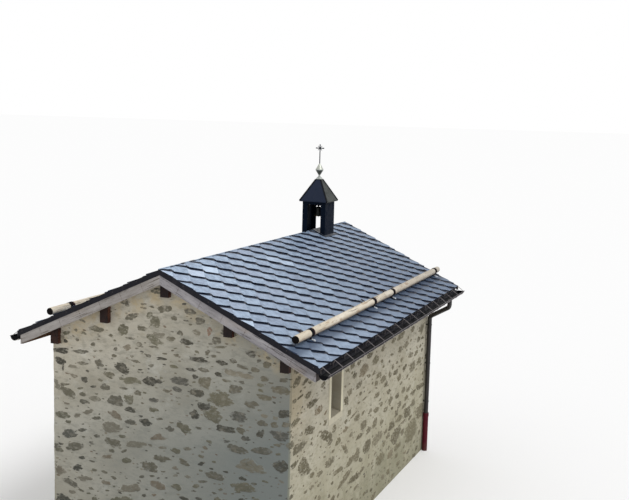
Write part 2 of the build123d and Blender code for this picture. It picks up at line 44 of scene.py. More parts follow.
# The view: from high over the right of the near gable, through a long lens, with the slight lean of a camera
# held in the hand.
eye = np.array([8.306, -18.4155, 7.681])
yaw, pitch, roll = 0.3802, 0.1341, 0.0264
ahead = np.array([-math.sin(yaw) * math.cos(pitch), math.cos(yaw) * math.cos(pitch), -math.sin(pitch)])
level = np.array([math.cos(yaw), math.sin(yaw), 0.0])
above = np.cross(level, ahead)
image_right = math.cos(roll) * level + math.sin(roll) * above
image_up = -math.sin(roll) * level + math.cos(roll) * above
lens = bpy.data.cameras.new("camera")
lens.sensor_fit = "HORIZONTAL"
lens.sensor_width = 36.0
lens.lens = 58.51
lens.clip_end = 2000.0
camera = bpy.data.objects.new("camera", lens)
scene.collection.objects.link(camera)
camera.matrix_world = Matrix(
    [[image_right[i], image_up[i], -ahead[i], eye[i]] for i in range(3)] + [[0, 0, 0, 1]]
)
scene.camera = camera


# The light: an even white sky and one broad soft lamp high over the right of the near gable. The camera and
# the gloss see the sky as plain white.
class Wire:
    """What an output of a shader node gives. Arithmetic on it makes Math nodes in the same tree."""

    def __init__(self, socket):
        self.socket, self.tree = socket, socket.id_data

    def __add__(self, other):
        return math_node("ADD", self, other)

    def __sub__(self, other):
        return math_node("SUBTRACT", self, other)

    def __rsub__(self, other):
        return math_node("SUBTRACT", other, self)

    def __mul__(self, other):
        return math_node("MULTIPLY", self, other)

    def __truediv__(self, other):
        return math_node("DIVIDE", self, other)

    def __pow__(self, other):
        return math_node("POWER", self, other)

    def __abs__(self):
        return math_node("ABSOLUTE", self)


def add(kind, inputs=None, tree=None, **settings):
    """A shader node with its settings, in the given tree or that of its wires. Inputs are values or wires."""
    inputs = inputs or {}
    tree = tree or next(value.tree for value in inputs.values() if isinstance(value, Wire))
    node = tree.nodes.new(kind)
    for key, value in settings.items():
        setattr(node, key, value)
    for key, value in inputs.items():
        if isinstance(value, Wire):
            tree.links.new(value.socket, node.inputs[key])
        else:
            node.inputs[key].default_value = value
    return node


def give(kind, key=0, inputs=None, tree=None, **settings):
    """The wire from one output of a new node."""
    return Wire(add(kind, inputs, tree, **settings).outputs[key])


def math_node(operation, *values):
    """The result of a Math node of one to three values or wires."""
    return give("ShaderNodeMath", 0, dict(enumerate(values)), operation=operation)


def most(first, second):
    """The larger of two."""
    return math_node("MAXIMUM", first, second)


sky = bpy.data.worlds.new("sky")
sky.use_nodes = True
scene.world = sky
sky.node_tree.nodes.clear()
path = add("ShaderNodeLightPath", tree=sky.node_tree).outputs
seen = most(Wire(path["Is Camera Ray"]), most(Wire(path["Is Glossy Ray"]), Wire(path["Is Transmission Ray"])))
lighting, white = (give("ShaderNodeBackground", 0, {"Color": (1, 1, 1, 1), "Strength": strength}, sky.node_tree)
                   for strength in (0.76, 1.0))
add("ShaderNodeOutputWorld", {"Surface": give("ShaderNodeMixShader", 0, {0: seen, 1: lighting, 2: white})})

lamp = bpy.data.lights.new("lamp", "SUN")
lamp.energy = 1.25
lamp.angle = math.radians(30)
lamp_stand = bpy.data.objects.new("lamp", lamp)
lamp_stand.rotation_mode = "QUATERNION"
lamp_stand.rotation_quaternion = Vector((-0.52, 0.12, -0.84)).to_track_quat("-Z", "Y")
scene.collection.objects.link(lamp_stand)


# The floor: a wide pale matt sheet under the walls, at their lowest ground level. It takes their shadow and runs
# out into the white sky.
def new_finish(name, rough=0.5, specular=0.5, **plain):
    """A material, its shader with plain values set on it, and the wire of the place on the object."""
    material = bpy.data.materials.new(name)
    material.use_nodes = True
    shader = material.node_tree.nodes["Principled BSDF"]
    for key, value in {"Roughness": rough, "Specular IOR Level": specular, **plain}.items():
        shader.inputs[key].default_value = value
    return material, shader, give("ShaderNodeTexCoord", "Object", tree=material.node_tree)


def paint(shader, wire, key="Base Color"):
    """Feeds a wire to the shader."""
    wire.tree.links.new(wire.socket, shader.inputs[key])


floor_half = 600.0
floor_mesh = bpy.data.meshes.new("pale_floor")
floor_mesh.from_pydata([(floor_half * x, floor_half * y, 0) for x, y in ((-1, -1), (1, -1), (1, 1), (-1, 1))],
                       [], [(0, 1, 2, 3)])
pale_floor = bpy.data.objects.new("pale_floor", floor_mesh)
scene.collection.objects.link(pale_floor)
material, shader, place = new_finish(
    "pale_floor", 1.0, 0.0, **{"Base Color": (0.80, 0.80, 0.80, 1), "Emission Strength": 1.0})
camera_ray = give("ShaderNodeLightPath", "Is Camera Ray", tree=place.tree)
paint(shader, give("ShaderNodeMix", 2, {0: camera_ray, 6: (0, 0, 0, 1), 7: (0.10, 0.10, 0.10, 1)},
                   data_type="RGBA"), "Emission Color")
floor_mesh.materials.append(material)


# Outer mortar: the walls are rubble, flush pointed by hand with sandy lime mortar that is dragged over most of
# the stone. It is one skin round the four walls, wavy, with rounded corners, cut out at the door and windows.
wall_half, wall_far, corner_round = 2.230, 3.965, 0.020
wall_middle, pipe_level = -0.085, 3.770
near_face = wall_middle - wall_far
rake, ridge_height, wall_under_ridge = 0.465, 5.135, 5.0578
door_half, door_head = 0.550, 2.250
window_y, window_low, window_high = (-2.270, -1.770), 2.400, 3.280
shoulder = 3.600
wall_faces = {"near": (0, wall_far, wall_half), "right": (90, wall_half, wall_far),
              "far": (180, wall_far, wall_half), "left": (270, wall_half, wall_far)}


def wall_place(face, along, out):
    """Points on a wall face. Along runs level with the wall on its left hand side at minus, out stands off it.
    Past the straight part the point goes round the corner on an arc and on along the next wall."""
    turn, off, half = wall_faces[face]
    past = np.abs(along) - (half - corner_round)
    angle = np.clip(past / corner_round, 0, math.pi / 2)
    beyond = np.maximum(past - corner_round * math.pi / 2, 0)
    normal_a, normal_o = np.sin(angle) * np.sign(along), np.cos(angle)
    base_a = np.where(past > 0, np.sign(along) * (half - corner_round), along)
    base_a = base_a + np.where(past > 0, corner_round + out, 0) * normal_a
    base_o = np.where(past > 0, off - corner_round + (corner_round + out) * normal_o - beyond, off + out)
    phi = math.radians(turn)
    return (base_a * math.cos(phi) + base_o * math.sin(phi),
            wall_middle + base_a * math.sin(phi) - base_o * math.cos(phi))


wave_rng = np.random.default_rng(11)
wave_way = wave_rng.normal(size=(18, 3))
wave_way /= np.linalg.norm(wave_way, axis=1, keepdims=True)
wave_length = np.geomspace(1.5, 0.13, 18)
wave_phase = wave_rng.uniform(0, 2 * math.pi, 18)


def mortar_rise(x, y, z):
    """How far the mortar stands off the wall, in metres: a sum of sines of the place in 18 directions, from
    1.5 m down to 0.13 m long and ever flatter, with thicker mortar at the corners and thin behind the pipes."""
    phase = (x[..., None] * wave_way[:, 0] + y[..., None] * wave_way[:, 1] + z[..., None] * wave_way[:, 2] * 1.6)
    waves = np.sin(phase * 2 * math.pi / wave_length + wave_phase) * wave_length ** 0.55
    rise = 0.0062 + 0.00115 * waves.sum(-1)
    from_corner = np.hypot(wall_half - np.abs(x), wall_far - np.abs(y - wall_middle))
    behind_pipe = np.exp(-(((y - pipe_level) / 0.09) ** 4)) * (np.abs(x) > wall_half - 0.03)
    return (np.clip(rise, 0.0015, 0.0115) * (1 - 0.8 * behind_pipe)
            + 0.006 * np.exp(-((from_corner / 0.07) ** 2)) * (1 - behind_pipe))


def span(*stops, step):
    """Numbers through all the stops, evenly spaced at about the step between neighbouring stops."""
    parts = [np.linspace(a, b, max(2, round(abs(b - a) / step)), endpoint=False)
             for a, b in zip(stops[:-1], stops[1:])]
    return np.concatenate(parts + [[stops[-1]]])


def grid_faces(rows, columns, closed=False):
    """Four sided faces between the points of a grid. A closed grid joins its last column to its first."""
    r, c = np.meshgrid(np.arange(rows - 1), np.arange(columns if closed else columns - 1), indexing="ij")
    d = (c + 1) % columns
    return np.stack([r * columns + c, r * columns + d, (r + 1) * columns + d, (r + 1) * columns + c],
                    -1).reshape(-1, 4)


def copies(faces, count, each):
    """The same faces for a number of like shapes, one after another, of so many points each."""
    return (np.asarray(faces)[None] + each * np.arange(count)[:, None, None]).reshape(-1, np.shape(faces)[1])


def make_piece(name, points, faces, finishes, slot, nodes=(), angle=35, which=None, values=None, closed=True):
    """A mesh object from arrays, of faces too, or from lists of them where their corners differ in number. Closed
    shells get their doubles merged and their faces turned outwards. Faces that meet at less than the angle are
    smooth. which picks each face's finish, values are point attributes."""
    mesh = bpy.data.meshes.new(name)
    parts = [faces] if isinstance(faces, np.ndarray) else faces
    mesh.from_pydata(np.reshape(points, (-1, 3)).tolist(), [], [face for part in parts for face in part.tolist()])
    for finish in finishes:
        mesh.materials.append(finish)
    if which is not None:
        mesh.polygons.foreach_set("material_index", np.asarray(which, np.int32))
    for key, value in (values or {}).items():
        mesh.attributes.new(key, "FLOAT", "POINT").data.foreach_set("value", np.asarray(value, np.float32))
    if closed:
        shell = bmesh.new()
        shell.from_mesh(mesh)
        bmesh.ops.remove_doubles(shell, verts=shell.verts, dist=2e-5)
        bmesh.ops.recalc_face_normals(shell, faces=shell.faces)
        shell.to_mesh(mesh)
        shell.free()
    mesh.shade_smooth()
    mesh.set_sharp_from_angle(angle=math.radians(angle))
    piece = bpy.data.objects.new(name, mesh)
    scene.collection.objects.link(piece)
    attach(piece, "chapel")
    if nodes:
        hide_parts(*nodes)


def tint(colour):
    """A colour as a screen shows it, 0 to 255, as the linear colour that a shader takes. A wire stays."""
    if isinstance(colour, Wire):
        return colour
    value = np.array(colour) / 255.0
    linear = np.where(value <= 0.04045, value / 12.92, ((value + 0.055) / 1.055) ** 2.4)
    return (*linear.tolist(), 1.0)


def mix(factor, first, second):
    """The second colour over the first."""
    return give("ShaderNodeMix", 2, {0: factor, 6: tint(first), 7: tint(second)}, data_type="RGBA")


def stretched(place, stretch=(1, 1, 1), shift=(0, 0, 0)):
    """A place scaled along its axes and shifted."""
    return give("ShaderNodeMapping", 0, {0: place, "Scale": stretch, "Location": shift})


def noise(place, scale, stretch=(1, 1, 1), detail=4, roughness=0.55, shift=(0, 0, 0)):
    """Cloudy noise, 0 to 1, of a place stretched along its axes."""
    return give("ShaderNodeTexNoise", 0, {"Vector": stretched(place, stretch, shift), "Scale": scale,
                                          "Detail": detail, "Roughness": roughness})


def ease(value, low, high, to_low=0.0, to_high=1.0):
    """A value eased from one range to another and held at its ends."""
    return give("ShaderNodeMapRange", 0, {0: value, 1: low, 2: high, 3: to_low, 4: to_high},
                interpolation_type="SMOOTHSTEP")


def coats(colour, *rows):
    """Colours laid one after another over the first. A row is a colour and its mask, or a colour, a value, the
    two limits between which the coat eases in, and its share where it doesn't cover all."""
    for over, value, *limits in rows:
        if limits:
            low, high, *share = limits
            value = ease(value, low, high, 0, *share)
        colour = mix(value, colour, over)
    return colour


def ramp(factor, *stops):
    """A colour from a row of (position, colour) stops."""
    node = add("ShaderNodeValToRGB", {0: factor})
    band = node.color_ramp
    while len(band.elements) < len(stops):
        band.elements.new(0.5)
    for element, (position, colour) in zip(band.elements, stops):
        element.position = position
        element.color = tint(colour)
    return Wire(node.outputs[0])


def apart(value, kind="ShaderNodeSeparateXYZ"):
    """The three parts of a place, or of a colour."""
    return [Wire(socket) for socket in add(kind, {0: value}).outputs]


def bump(shader, height, depth, strength=1.0):
    """Fine relief of a height from 0 to 1 that stands for the depth in metres."""
    paint(shader, give("ShaderNodeBump", 0, {"Height": height, "Distance": depth, "Strength": strength}), "Normal")


def new_group(name, outputs, number=None):
    """A shader node group with a place and perhaps one number as inputs, and its outputs, of which Color is a
    colour and the others are numbers. It returns the group and the wires of its inputs."""
    group = bpy.data.node_groups.new(name, "ShaderNodeTree")
    group.interface.new_socket("Place", in_out="INPUT", socket_type="NodeSocketVector")
    if number:
        group.interface.new_socket(number, in_out="INPUT", socket_type="NodeSocketFloat")
    for key in outputs:
        kind = "NodeSocketColor" if key == "Color" else "NodeSocketFloat"
        group.interface.new_socket(key, in_out="OUTPUT", socket_type=kind)
    return group, *(Wire(socket) for socket in group.nodes.new("NodeGroupInput").outputs if socket.name)


def placed(group, **values):
    """A group's outputs by name, placed with its own values."""
    return {key: Wire(socket) for key, socket in add("ShaderNodeGroup", values, node_tree=group).outputs.items()}


# Lime mortar as a group: sand, trowel smears that lie level, pale lime bloom, rain wash and damp at the foot.
lime_group, place, smear_share = new_group("lime_mortar", ("Color", "Height"), "Smear")
x, y, z = apart(place)
stains = noise(place, 0.9, (1, 1, 1.5), 4, 0.6)
smears = noise(place, 7.0, (1, 1, 2.6), 5, 0.62)
sand = noise(place, 95.0, (1, 1, 1), 3, 0.6)
grit = noise(place, 320.0, (1, 1, 1), 2, 0.6)
bloom = noise(place, 2.4, (1, 1, 1.3), 6, 0.68, (3.1, 1.7, 0.4))
# painted shade: the low right part of the near gable, which the sun hardly reaches, is painted grey and darker
shade = most(x * 0.157 + (most(z, 2.1) * -0.27 + 1.33), 0.0)
shade = math_node("MINIMUM", shade, 1.0) * ease(y, near_face + 0.025, near_face + 0.005)
side = ease(abs(x), wall_half - 0.020, wall_half - 0.005) * ease(z, 3.4, 0.8, 0.12, 0.48)
# tannin from the bargeboards has stained it ochre just below them and along the near corner
below = (abs(x) * -rake + wall_under_ridge) - z
ochre = ease(below, 0.66, 0.34) * ease(noise(place, 4.0, (1, 1, 1), 5, 0.65, (1, 2, 5)), 0.42, 0.66, 0, 0.52)
ochre = ochre * ease(abs(y - wall_middle), wall_far - 0.015, wall_far + 0.005)
corner = ease(y, -3.1, -3.8) * ease(z, 2.4, 3.2, 0, 0.5) * side
wet = z + ease(noise(place, 2.2, (1, 1, 0.4)), 0.3, 0.7, -0.5, 0.5)
colour = coats(
    ramp(stains, (0.30, (173, 165, 147)), (0.48, (191, 184, 167)), (0.66, (205, 199, 184))),
    ((158, 153, 139), ease(smears, 0.46, 0.68) * smear_share), ((214, 211, 200), bloom, 0.56, 0.72, 0.65),
    ((186, 168, 132), bloom, 0.36, 0.24, 0.35), ((134, 127, 110), sand, 0.35, 0.7, 0.22),
    ((96, 90, 78), grit, 0.60, 0.72, 0.40), ((118, 123, 120), shade), ((140, 138, 110), side),
    ((196, 174, 130), most(ochre, corner * 4.0)), ((112, 112, 88), wet, 1.1, 0.1, 0.42))
add("NodeGroupOutput", {"Color": colour, "Height": smears + (sand * 0.28 + grit * 0.10)})

lime_mortar, shader, place = new_finish("lime_mortar", 0.95, 0.25)
lime = placed(lime_group, Place=place, Smear=0.75)
# chips of stone that show through the mortar as small dark lenses
uneven = give("ShaderNodeTexNoise", "Color", {"Vector": place, "Scale": 14.0, "Detail": 2})
cells = give("ShaderNodeMix", 1, {0: 0.06, 4: stretched(place, (1, 1, 2.2)), 5: uneven}, data_type="VECTOR")
chips = add("ShaderNodeTexVoronoi", {"Vector": cells, "Scale": 7.5, "Randomness": 1.0}).outputs
size, strength, kind = apart(Wire(chips["Color"]), "ShaderNodeSeparateColor")[:3]
chip = ease(most(size - 0.45, 0.0) * 0.55 - Wire(chips["Distance"]), -0.02, 0.07)
paint(shader, mix(chip * ease(strength, 0.2, 0.9, 0.35, 0.95), lime["Color"], ramp(
    kind, (0.1, (84, 82, 76)), (0.6, (118, 110, 92)), (0.9, (98, 84, 70)))))
bump(shader, lime["Height"] - chip * 0.25, 0.006, 0.8)

mortar_step, gable_straight, side_straight = 0.040, 2.210, 3.945
rounding = corner_round * np.radians([18, 36, 54, 72])
stops = {"near": (-gable_straight, -door_half, door_half, gable_straight),
         "right": (-side_straight, window_y[0] - wall_middle, window_y[1] - wall_middle, side_straight),
         "far": (-gable_straight, -door_half, door_half, gable_straight),
         "left": (-side_straight, wall_middle - window_y[1], wall_middle - window_y[0], side_straight)}
columns = {face: np.concatenate([span(*stops[face], step=mortar_step), wall_faces[face][2] - corner_round + rounding])
           for face in wall_faces}
owner = np.concatenate([np.full(len(along), face) for face, along in columns.items()])


def round_the_walls(out):
    """The x and y of every column round the walls, for rows of how far each stands out."""
    sides = [wall_place(face, along[None, :], out[:, owner == face]) for face, along in columns.items()]
    return [np.concatenate([side[i] for side in sides], 1) for i in (0, 1)]


base_x, base_y = (base[0] for base in round_the_walls(np.zeros((1, len(owner)))))
rows_low = span(0.0, door_head, window_low, window_high, shoulder, step=mortar_step)[:, None]
rows_fan = np.linspace(0, 1, 25)[1:, None]
top = wall_under_ridge - rake * np.abs(base_x)
rows_z = np.vstack([rows_low + 0 * top, shoulder + rows_fan * (top - shoulder)])
rise = mortar_rise(base_x + 0 * rows_z, base_y + 0 * rows_z, rows_z)
rise[0], rise[-1] = 0.0, 0.0
edge = 1e-6
hole = (owner == "far") & (np.abs(base_x) < door_half + edge) & (rows_z < door_head + edge)
hole |= (np.isin(owner, ("right", "left")) & (base_y > window_y[0] - edge) & (base_y < window_y[1] + edge)
         & (rows_z > window_low - edge) & (rows_z < window_high + edge))
rise[hole] = 0.0
faces = grid_faces(*rows_z.shape, closed=True)
make_piece("outer_mortar", np.stack([*round_the_walls(rise), rows_z], -1), faces[~hole.ravel()[faces].all(1)],
           [lime_mortar], "stone", closed=False, angle=80)


# Stones: split gneiss and slate from the site, most of each hidden by mortar. The ones listed stand on the two
# walls seen best: along, up, width and depth down the face in mm, lean in degrees, and kind, which is dark, blue
# grey, middling, olive, light, tan or russet. Smaller ones fill what is left.
kinds = {"d": 0.07, "b": 0.20, "m": 0.36, "o": 0.50, "l": 0.70, "t": 0.84, "r": 1.0}
near_stones = """
-65 4420 235 105 8 m,112 4282 100 70 0 m,332 4259 110 25 0 d,582 4276 140 100 0 m,-353 4282 120 90 30 o,
-241 4179 175 180 0 o,-697 4223 240 105 20 m,-859 3988 180 170 0 o,-1382 3944 250 95 -10 m,-500 4047 170 75 0 m,
-168 3965 200 80 0 l,-256 3876 270 120 -20 o,53 3929 150 80 0 m,223 4047 105 80 0 m,341 3906 235 95 0 d,
529 4082 130 85 0 l,759 4129 75 120 0 r,891 3988 150 100 0 m,965 3891 200 35 0 m,-726 3856 175 40 0 m,
1509 3841 200 110 0 b,-550 3768 130 65 0 m,-285 3759 160 40 0 m,-771 3694 150 90 0 t,-1000 3635 90 60 0 m,
-1447 3670 90 60 0 m,-2012 3665 80 60 0 d,-1770 3709 60 45 0 m,729 3776 75 75 0 m,553 3641 320 75 0 d,
988 3635 175 75 0 d,1191 3688 100 85 0 m,1788 3694 130 90 0 m,1582 3591 130 75 0 m,-124 3576 180 45 0 d,
-2090 3494 260 90 0 d,-1697 3518 300 65 0 m,-1329 3356 150 110 0 m,-609 3474 170 40 0 m,112 3468 140 50 0 o,
435 3459 180 50 0 d,671 3479 200 60 0 m,935 3438 115 65 0 d,1288 3488 460 90 0 l,1753 3465 130 75 0 m,
-2120 3312 190 110 0 d,-874 3326 290 140 -15 d,-315 3435 110 50 0 m,-1859 3238 170 50 0 l,-2059 3209 35 130 0 d,
-1559 3194 75 50 0 d,-1124 3179 175 100 0 m,-712 3135 370 100 0 o,-300 3171 330 125 0 d,229 3244 330 125 0 b,
509 3350 100 70 0 d,685 3276 190 180 0 m,538 3085 270 125 0 b,965 3032 430 230 0 o,1244 3229 210 130 0 m,
1524 3018 240 110 0 m,1759 3165 250 80 0 m,2038 3312 300 120 0 m,2110 2944 210 120 0 d,-1624 3041 130 90 0 b,
-1212 2953 170 110 0 m,-844 2982 145 40 0 m,-571 2935 130 85 0 m,-256 2856 190 70 0 b,-21 3041 130 55 0 m,
685 2876 215 105 0 d,-1006 2753 270 170 0 m,-750 2806 180 140 0 o,-1418 2729 200 85 0 l,-1659 2776 130 85 0 m,
-1971 2776 310 130 -20 m,-2035 2906 190 40 0 m,-1638 2641 175 70 0 m,-718 2629 180 90 0 d,509 2709 175 140 0 d,
847 2753 310 240 0 o,1303 2782 260 160 0 b,1729 2738 175 85 0 m,1935 2738 115 85 0 m,2150 2768 130 85 0 m,
1068 2547 310 95 0 d,1347 2562 145 100 0 m,1700 2562 115 115 0 d,2053 2576 320 140 0 b,1729 2282 300 110 0 m,
2060 2076 300 170 0 d"""
right_stones = """
-3930 3136 140 60 0 m,-3703 3144 230 35 0 d,-3356 3094 190 100 0 m,-2661 3108 200 80 0 m,-3161 2906 450 100 0 d,
-2856 2706 300 120 0 t,-3850 2775 300 100 0 m,-3592 2503 120 55 0 m,-3244 2469 380 120 -10 d,
-3661 2303 500 120 0 b,-2536 2400 140 100 0 m,-2439 2136 520 150 -20 d,-2078 2164 160 110 0 m,
-2272 1983 190 100 0 b,-3439 1900 500 260 -20 b,-3092 1650 220 95 0 m,-2717 1553 250 80 0 m,-2244 1608 400 130 0 m,
-1869 1872 220 110 0 o,-2092 1761 140 55 0 m,-1490 2525 190 140 0 d,-1300 2636 200 120 0 l,-814 2650 300 110 0 m,
-1064 2886 190 95 0 d,-550 2872 480 220 0 t,-1189 3108 220 110 0 m,-828 3080 220 70 0 m,-231 3094 330 100 0 d,
-1300 2247 160 95 0 m,-1467 2122 140 70 0 m,-1481 1983 250 90 0 t,-800 2303 140 40 0 m,-467 2303 220 40 0 m,
-1064 2136 360 35 0 m,-842 2025 290 130 0 m,-522 2030 150 60 0 m,-92 1956 190 80 0 m,-1161 1789 160 70 0 m,
-439 1789 370 150 0 m,-1467 1608 350 110 -35 m,-689 1622 400 80 0 d,-161 1594 270 110 0 m,-1161 1289 350 150 0 m,
-814 1289 270 210 0 m,-217 1289 390 240 0 d,-1800 1303 450 80 0 m,-1439 1039 600 130 0 m,-911 872 600 110 0 d,
-467 900 250 80 0 m,139 2914 330 140 0 o,597 3053 165 110 0 m,1278 3080 250 95 0 m,1778 3080 450 130 0 o,
2639 3067 270 110 0 m,69 2678 165 70 0 m,361 2561 300 80 0 m,556 2803 140 70 0 m,667 2678 125 55 0 m,
1194 2808 190 50 0 m,1778 2789 190 120 0 m,2180 2803 350 120 0 l,3139 2733 200 110 0 d,3444 2711 230 60 0 d,
3306 2553 140 85 0 m,2972 2455 270 85 0 m,3458 2428 165 70 0 d,222 2428 165 85 0 m,1097 2400 150 120 0 m,
1486 2367 300 90 0 d,861 2261 220 95 0 d,1292 2525 125 110 0 m,1764 2192 230 130 0 m,2736 2205 380 190 0 m,
3250 2219 300 130 0 m,305 2178 270 95 0 m,1069 2053 230 80 0 d,542 2025 165 55 0 m,292 1878 250 95 0 m,
1208 1844 250 120 0 m,1667 1817 230 95 0 d,2097 1830 230 120 0 m,2500 1775 330 95 0 m,903 1725 260 80 0 m,
208 1636 250 150 0 m,653 1525 190 120 0 m,1847 1580 220 120 0 m,2333 1603 260 100 0 m,2861 1594 350 105 0 d,
3444 1594 540 110 0 d,1667 1442 200 140 0 d,2208 1455 260 80 0 m,2889 1344 400 120 0 m,417 1261 540 190 0 l,
944 1247 200 80 0 m,1347 1261 370 140 0 d,1889 1261 380 125 0 o,2444 1247 510 190 -15 d,2222 1108 350 55 0 m,
1111 1108 260 105 0 m,2694 1067 230 80 0 d,1667 969 580 280 0 b,2153 900 250 125 0 m,2805 733 800 400 0 o,
3472 1011 540 270 0 m,1319 650 330 160 0 t,1806 678 400 120 0 m,667 761 480 190 0 o"""


def listed(text, shift, size_share, rng):
    """Rows of along, up, half width, half depth in metres, lean in radians, and tone, from a list in mm. A stone
    moves by the shift in mm, and its half size is that share of its listed size."""
    rows = [entry.split() for entry in text.replace("\n", "").split(",") if entry.strip()]
    size = np.array([[float(v) for v in row[:5]] for row in rows]) + (*shift, 0, 0, 0)
    tone = np.array([kinds[row[5]] for row in rows]) + rng.uniform(-0.05, 0.05, len(rows))
    return np.column_stack([size[:, :2] / 1000, size[:, 2:4] / 1000 * size_share,
                            np.radians(size[:, 4] + rng.normal(0, 4, len(rows))), tone])


def fill_face(face, stones, rng, tries):
    """More stones at random free places of a wall face. Two stones are apart where the distance of their
    middles, each axis measured in their half sizes added up, is over one."""
    half, gable = wall_faces[face][2], face in ("near", "far")
    door_gap, window_gap, pipe_gap, below_pipe = 0.02, 0.14, 0.07, 3.3
    kind_shares = [0.12, 0.10, 0.36, 0.22, 0.15, 0.05]
    stones = list(stones)
    for large, small, low_gap, number in tries:
        for _ in range(number):
            along = rng.uniform(-half - 0.02, half + 0.02)
            z = 0.04 + (wall_under_ridge - 0.10) * rng.uniform() ** 1.4
            width = rng.uniform(small, large) / 2
            depth = width * rng.uniform(0.26, 0.58)
            top = wall_under_ridge - rake * (abs(along) + width if gable else wall_half)
            y = wall_middle + (along if face == "right" else -along)
            if z + depth > top - 0.05 or z - depth < 0.02:
                continue
            if face == "far" and abs(along) < door_half + width + door_gap and z - depth < door_head + door_gap:
                continue
            if not gable and (window_y[0] - window_gap - width < y < window_y[1] + window_gap + width
                              and window_low - window_gap < z + depth and z - depth < window_high + window_gap):
                continue
            if not gable and abs(y - pipe_level) < width + pipe_gap and z < below_pipe:
                continue
            if stones:
                other = np.array(stones)
                apart_by = np.hypot((other[:, 0] - along) / (other[:, 2] + width + low_gap),
                                    (other[:, 1] - z) / (other[:, 3] + depth + low_gap))
                if apart_by.min() < 1:
                    continue
            tone = rng.choice(list(kinds.values())[:6], p=kind_shares) + rng.uniform(-0.05, 0.05)
            stones.append([along, z, width, depth, rng.normal(0, 0.16), tone])
    return np.array(stones)


def stone_mesh(face, stones, rng):
    """Stones as low lenses. The outline is a superellipse with two to six waves round it, so it is uneven and
    blunt cornered. Rings of it step in and rise to a tilted face, and the outer ring is sunk in the mortar."""
    count, around = len(stones), 16
    theta = np.linspace(0, 2 * math.pi, around, endpoint=False)[None, :] + rng.uniform(0, 0.3, (count, 1))
    power = rng.uniform(1.4, 3.2, (count, 1))
    radius = (np.abs(np.cos(theta)) ** power + np.abs(np.sin(theta)) ** power) ** (-1 / power)
    for k, size in ((2, 0.06), (3, 0.09), (4, 0.06), (5, 0.05), (6, 0.035)):
        radius = radius * (1 + size * rng.normal(0, 1, (count, 1)) * np.cos(
            k * theta + rng.uniform(0, 6.28, (count, 1))))
    radius = np.clip(radius, 0.55, 1.4)
    u = stones[:, 2, None] * radius * np.cos(theta)
    v = stones[:, 3, None] * radius * np.sin(theta)
    skew = rng.normal(0, 0.18, (count, 1))
    u = u + skew * v
    lean = stones[:, 4, None]
    u, v = u * np.cos(lean) - v * np.sin(lean), u * np.sin(lean) + v * np.cos(lean)
    crown = (rng.uniform(0.004, 0.011, count) * np.clip(stones[:, 3] / 0.05, 0.45, 1.2))[:, None]
    tilt_u, tilt_v = rng.normal(0, 0.018, (2, count, 1))
    steps = ((1.07, -0.007, 1.0), (1.0, 0.0008, 0.80), (0.86, 0.62, 0.30), (0.52, 0.95, 0.0), (0.0, 1.0, 0.0))
    rings, rims = [], []
    for step, lift, rim in steps:
        a, b = u * step, v * step
        out = crown * lift if lift > 0.01 else np.full_like(a, lift)
        if lift > 0.01:
            out = out + np.clip(tilt_u * a + tilt_v * b, -0.004, 0.004) + rng.normal(0, 0.0008, a.shape)
        if step == 0.0:
            a, b, out = a[:, :1], b[:, :1], out[:, :1]
        along, z = stones[:, 0, None] + a, np.maximum(stones[:, 1, None] + b, 0.002)
        x, y = wall_place(face, along, np.zeros_like(along))
        x, y = wall_place(face, along, mortar_rise(x, y, z) + out)
        rings.append(np.stack([x, y, z], -1))
        rims.append(np.full(a.shape, rim))
    points = np.concatenate(rings, 1)
    each = points.shape[1]
    ring = np.arange(around)
    crown_tip = np.column_stack([3 * around + ring, 3 * around + np.roll(ring, -1), np.full(around, 4 * around)])
    faces = [copies(one, count, each) for one in (grid_faces(4, around, closed=True), crown_tip, ring[None, ::-1])]
    return points.reshape(-1, 3), faces, np.repeat(stones[:, 5], each), np.concatenate(rims, 1).ravel()


def own(place, name):
    """A value that the piece carries at its points."""
    return give("ShaderNodeAttribute", "Fac", tree=place.tree, attribute_name=name)


wall_stone, shader, place = new_finish("wall_stone", 0.82, 0.35)
x, y, z = apart(place)
layers = noise(place, 16.0, (1, 1, 3.2), 5, 0.62)
crystals = noise(place, 150.0, (1, 1, 1), 3, 0.65)
clouds = noise(place, 9.0, (1, 1, 1.4), 4, 0.6, (2.0, 0.3, 1.1))
ragged = noise(place, 13.0, (1, 1, 1.7), 4, 0.58)
film = noise(place, 12.0, (1, 1, 2.0), 5, 0.66, (7.0, 1.0, 2.0))
lime = placed(lime_group, Place=place, Smear=0.6)
# mortar laps over the rim of each stone, and lies as a thin film over many
film_share = most(ease(z, 3.2, 4.2, 0.35, 0.80), ease(x, wall_half - 0.015, wall_half - 0.005, 0, 0.80))
smear = most(ease(own(place, "rim") + ease(ragged, 0.36, 0.64, -0.45, 0.45), 0.30, 0.85),
             film_share * ease(film, 0.50, 0.66))
tone = own(place, "tone") + ease(layers, 0.3, 0.7, -0.05, 0.05)
# the stones of the near gable are painted darker towards its foot as painted shade, like the mortar there
paint(shader, coats(
    ramp(tone, (0.03, (62, 60, 52)), (0.14, (78, 75, 64)), (0.24, (90, 89, 83)), (0.38, (108, 103, 87)),
         (0.50, (108, 105, 86)), (0.70, (132, 127, 112)), (0.86, (128, 116, 98)), (0.97, (140, 112, 94))),
    ((142, 136, 121), clouds, 0.50, 0.70, 0.6), ((64, 61, 53), clouds, 0.46, 0.28, 0.4),
    ((156, 151, 138), crystals, 0.55, 0.72, 0.45), ((52, 50, 46), crystals, 0.42, 0.30, 0.45),
    ((108, 99, 70), x, wall_half - 0.015, wall_half - 0.005, 0.50),
    ((58, 62, 58), ease(z, 3.5, 2.2, 0, 0.4) * ease(y, near_face + 0.15, near_face + 0.05)), (lime["Color"], smear)))
bump(shader, layers + crystals * 0.2, 0.006, 0.7)

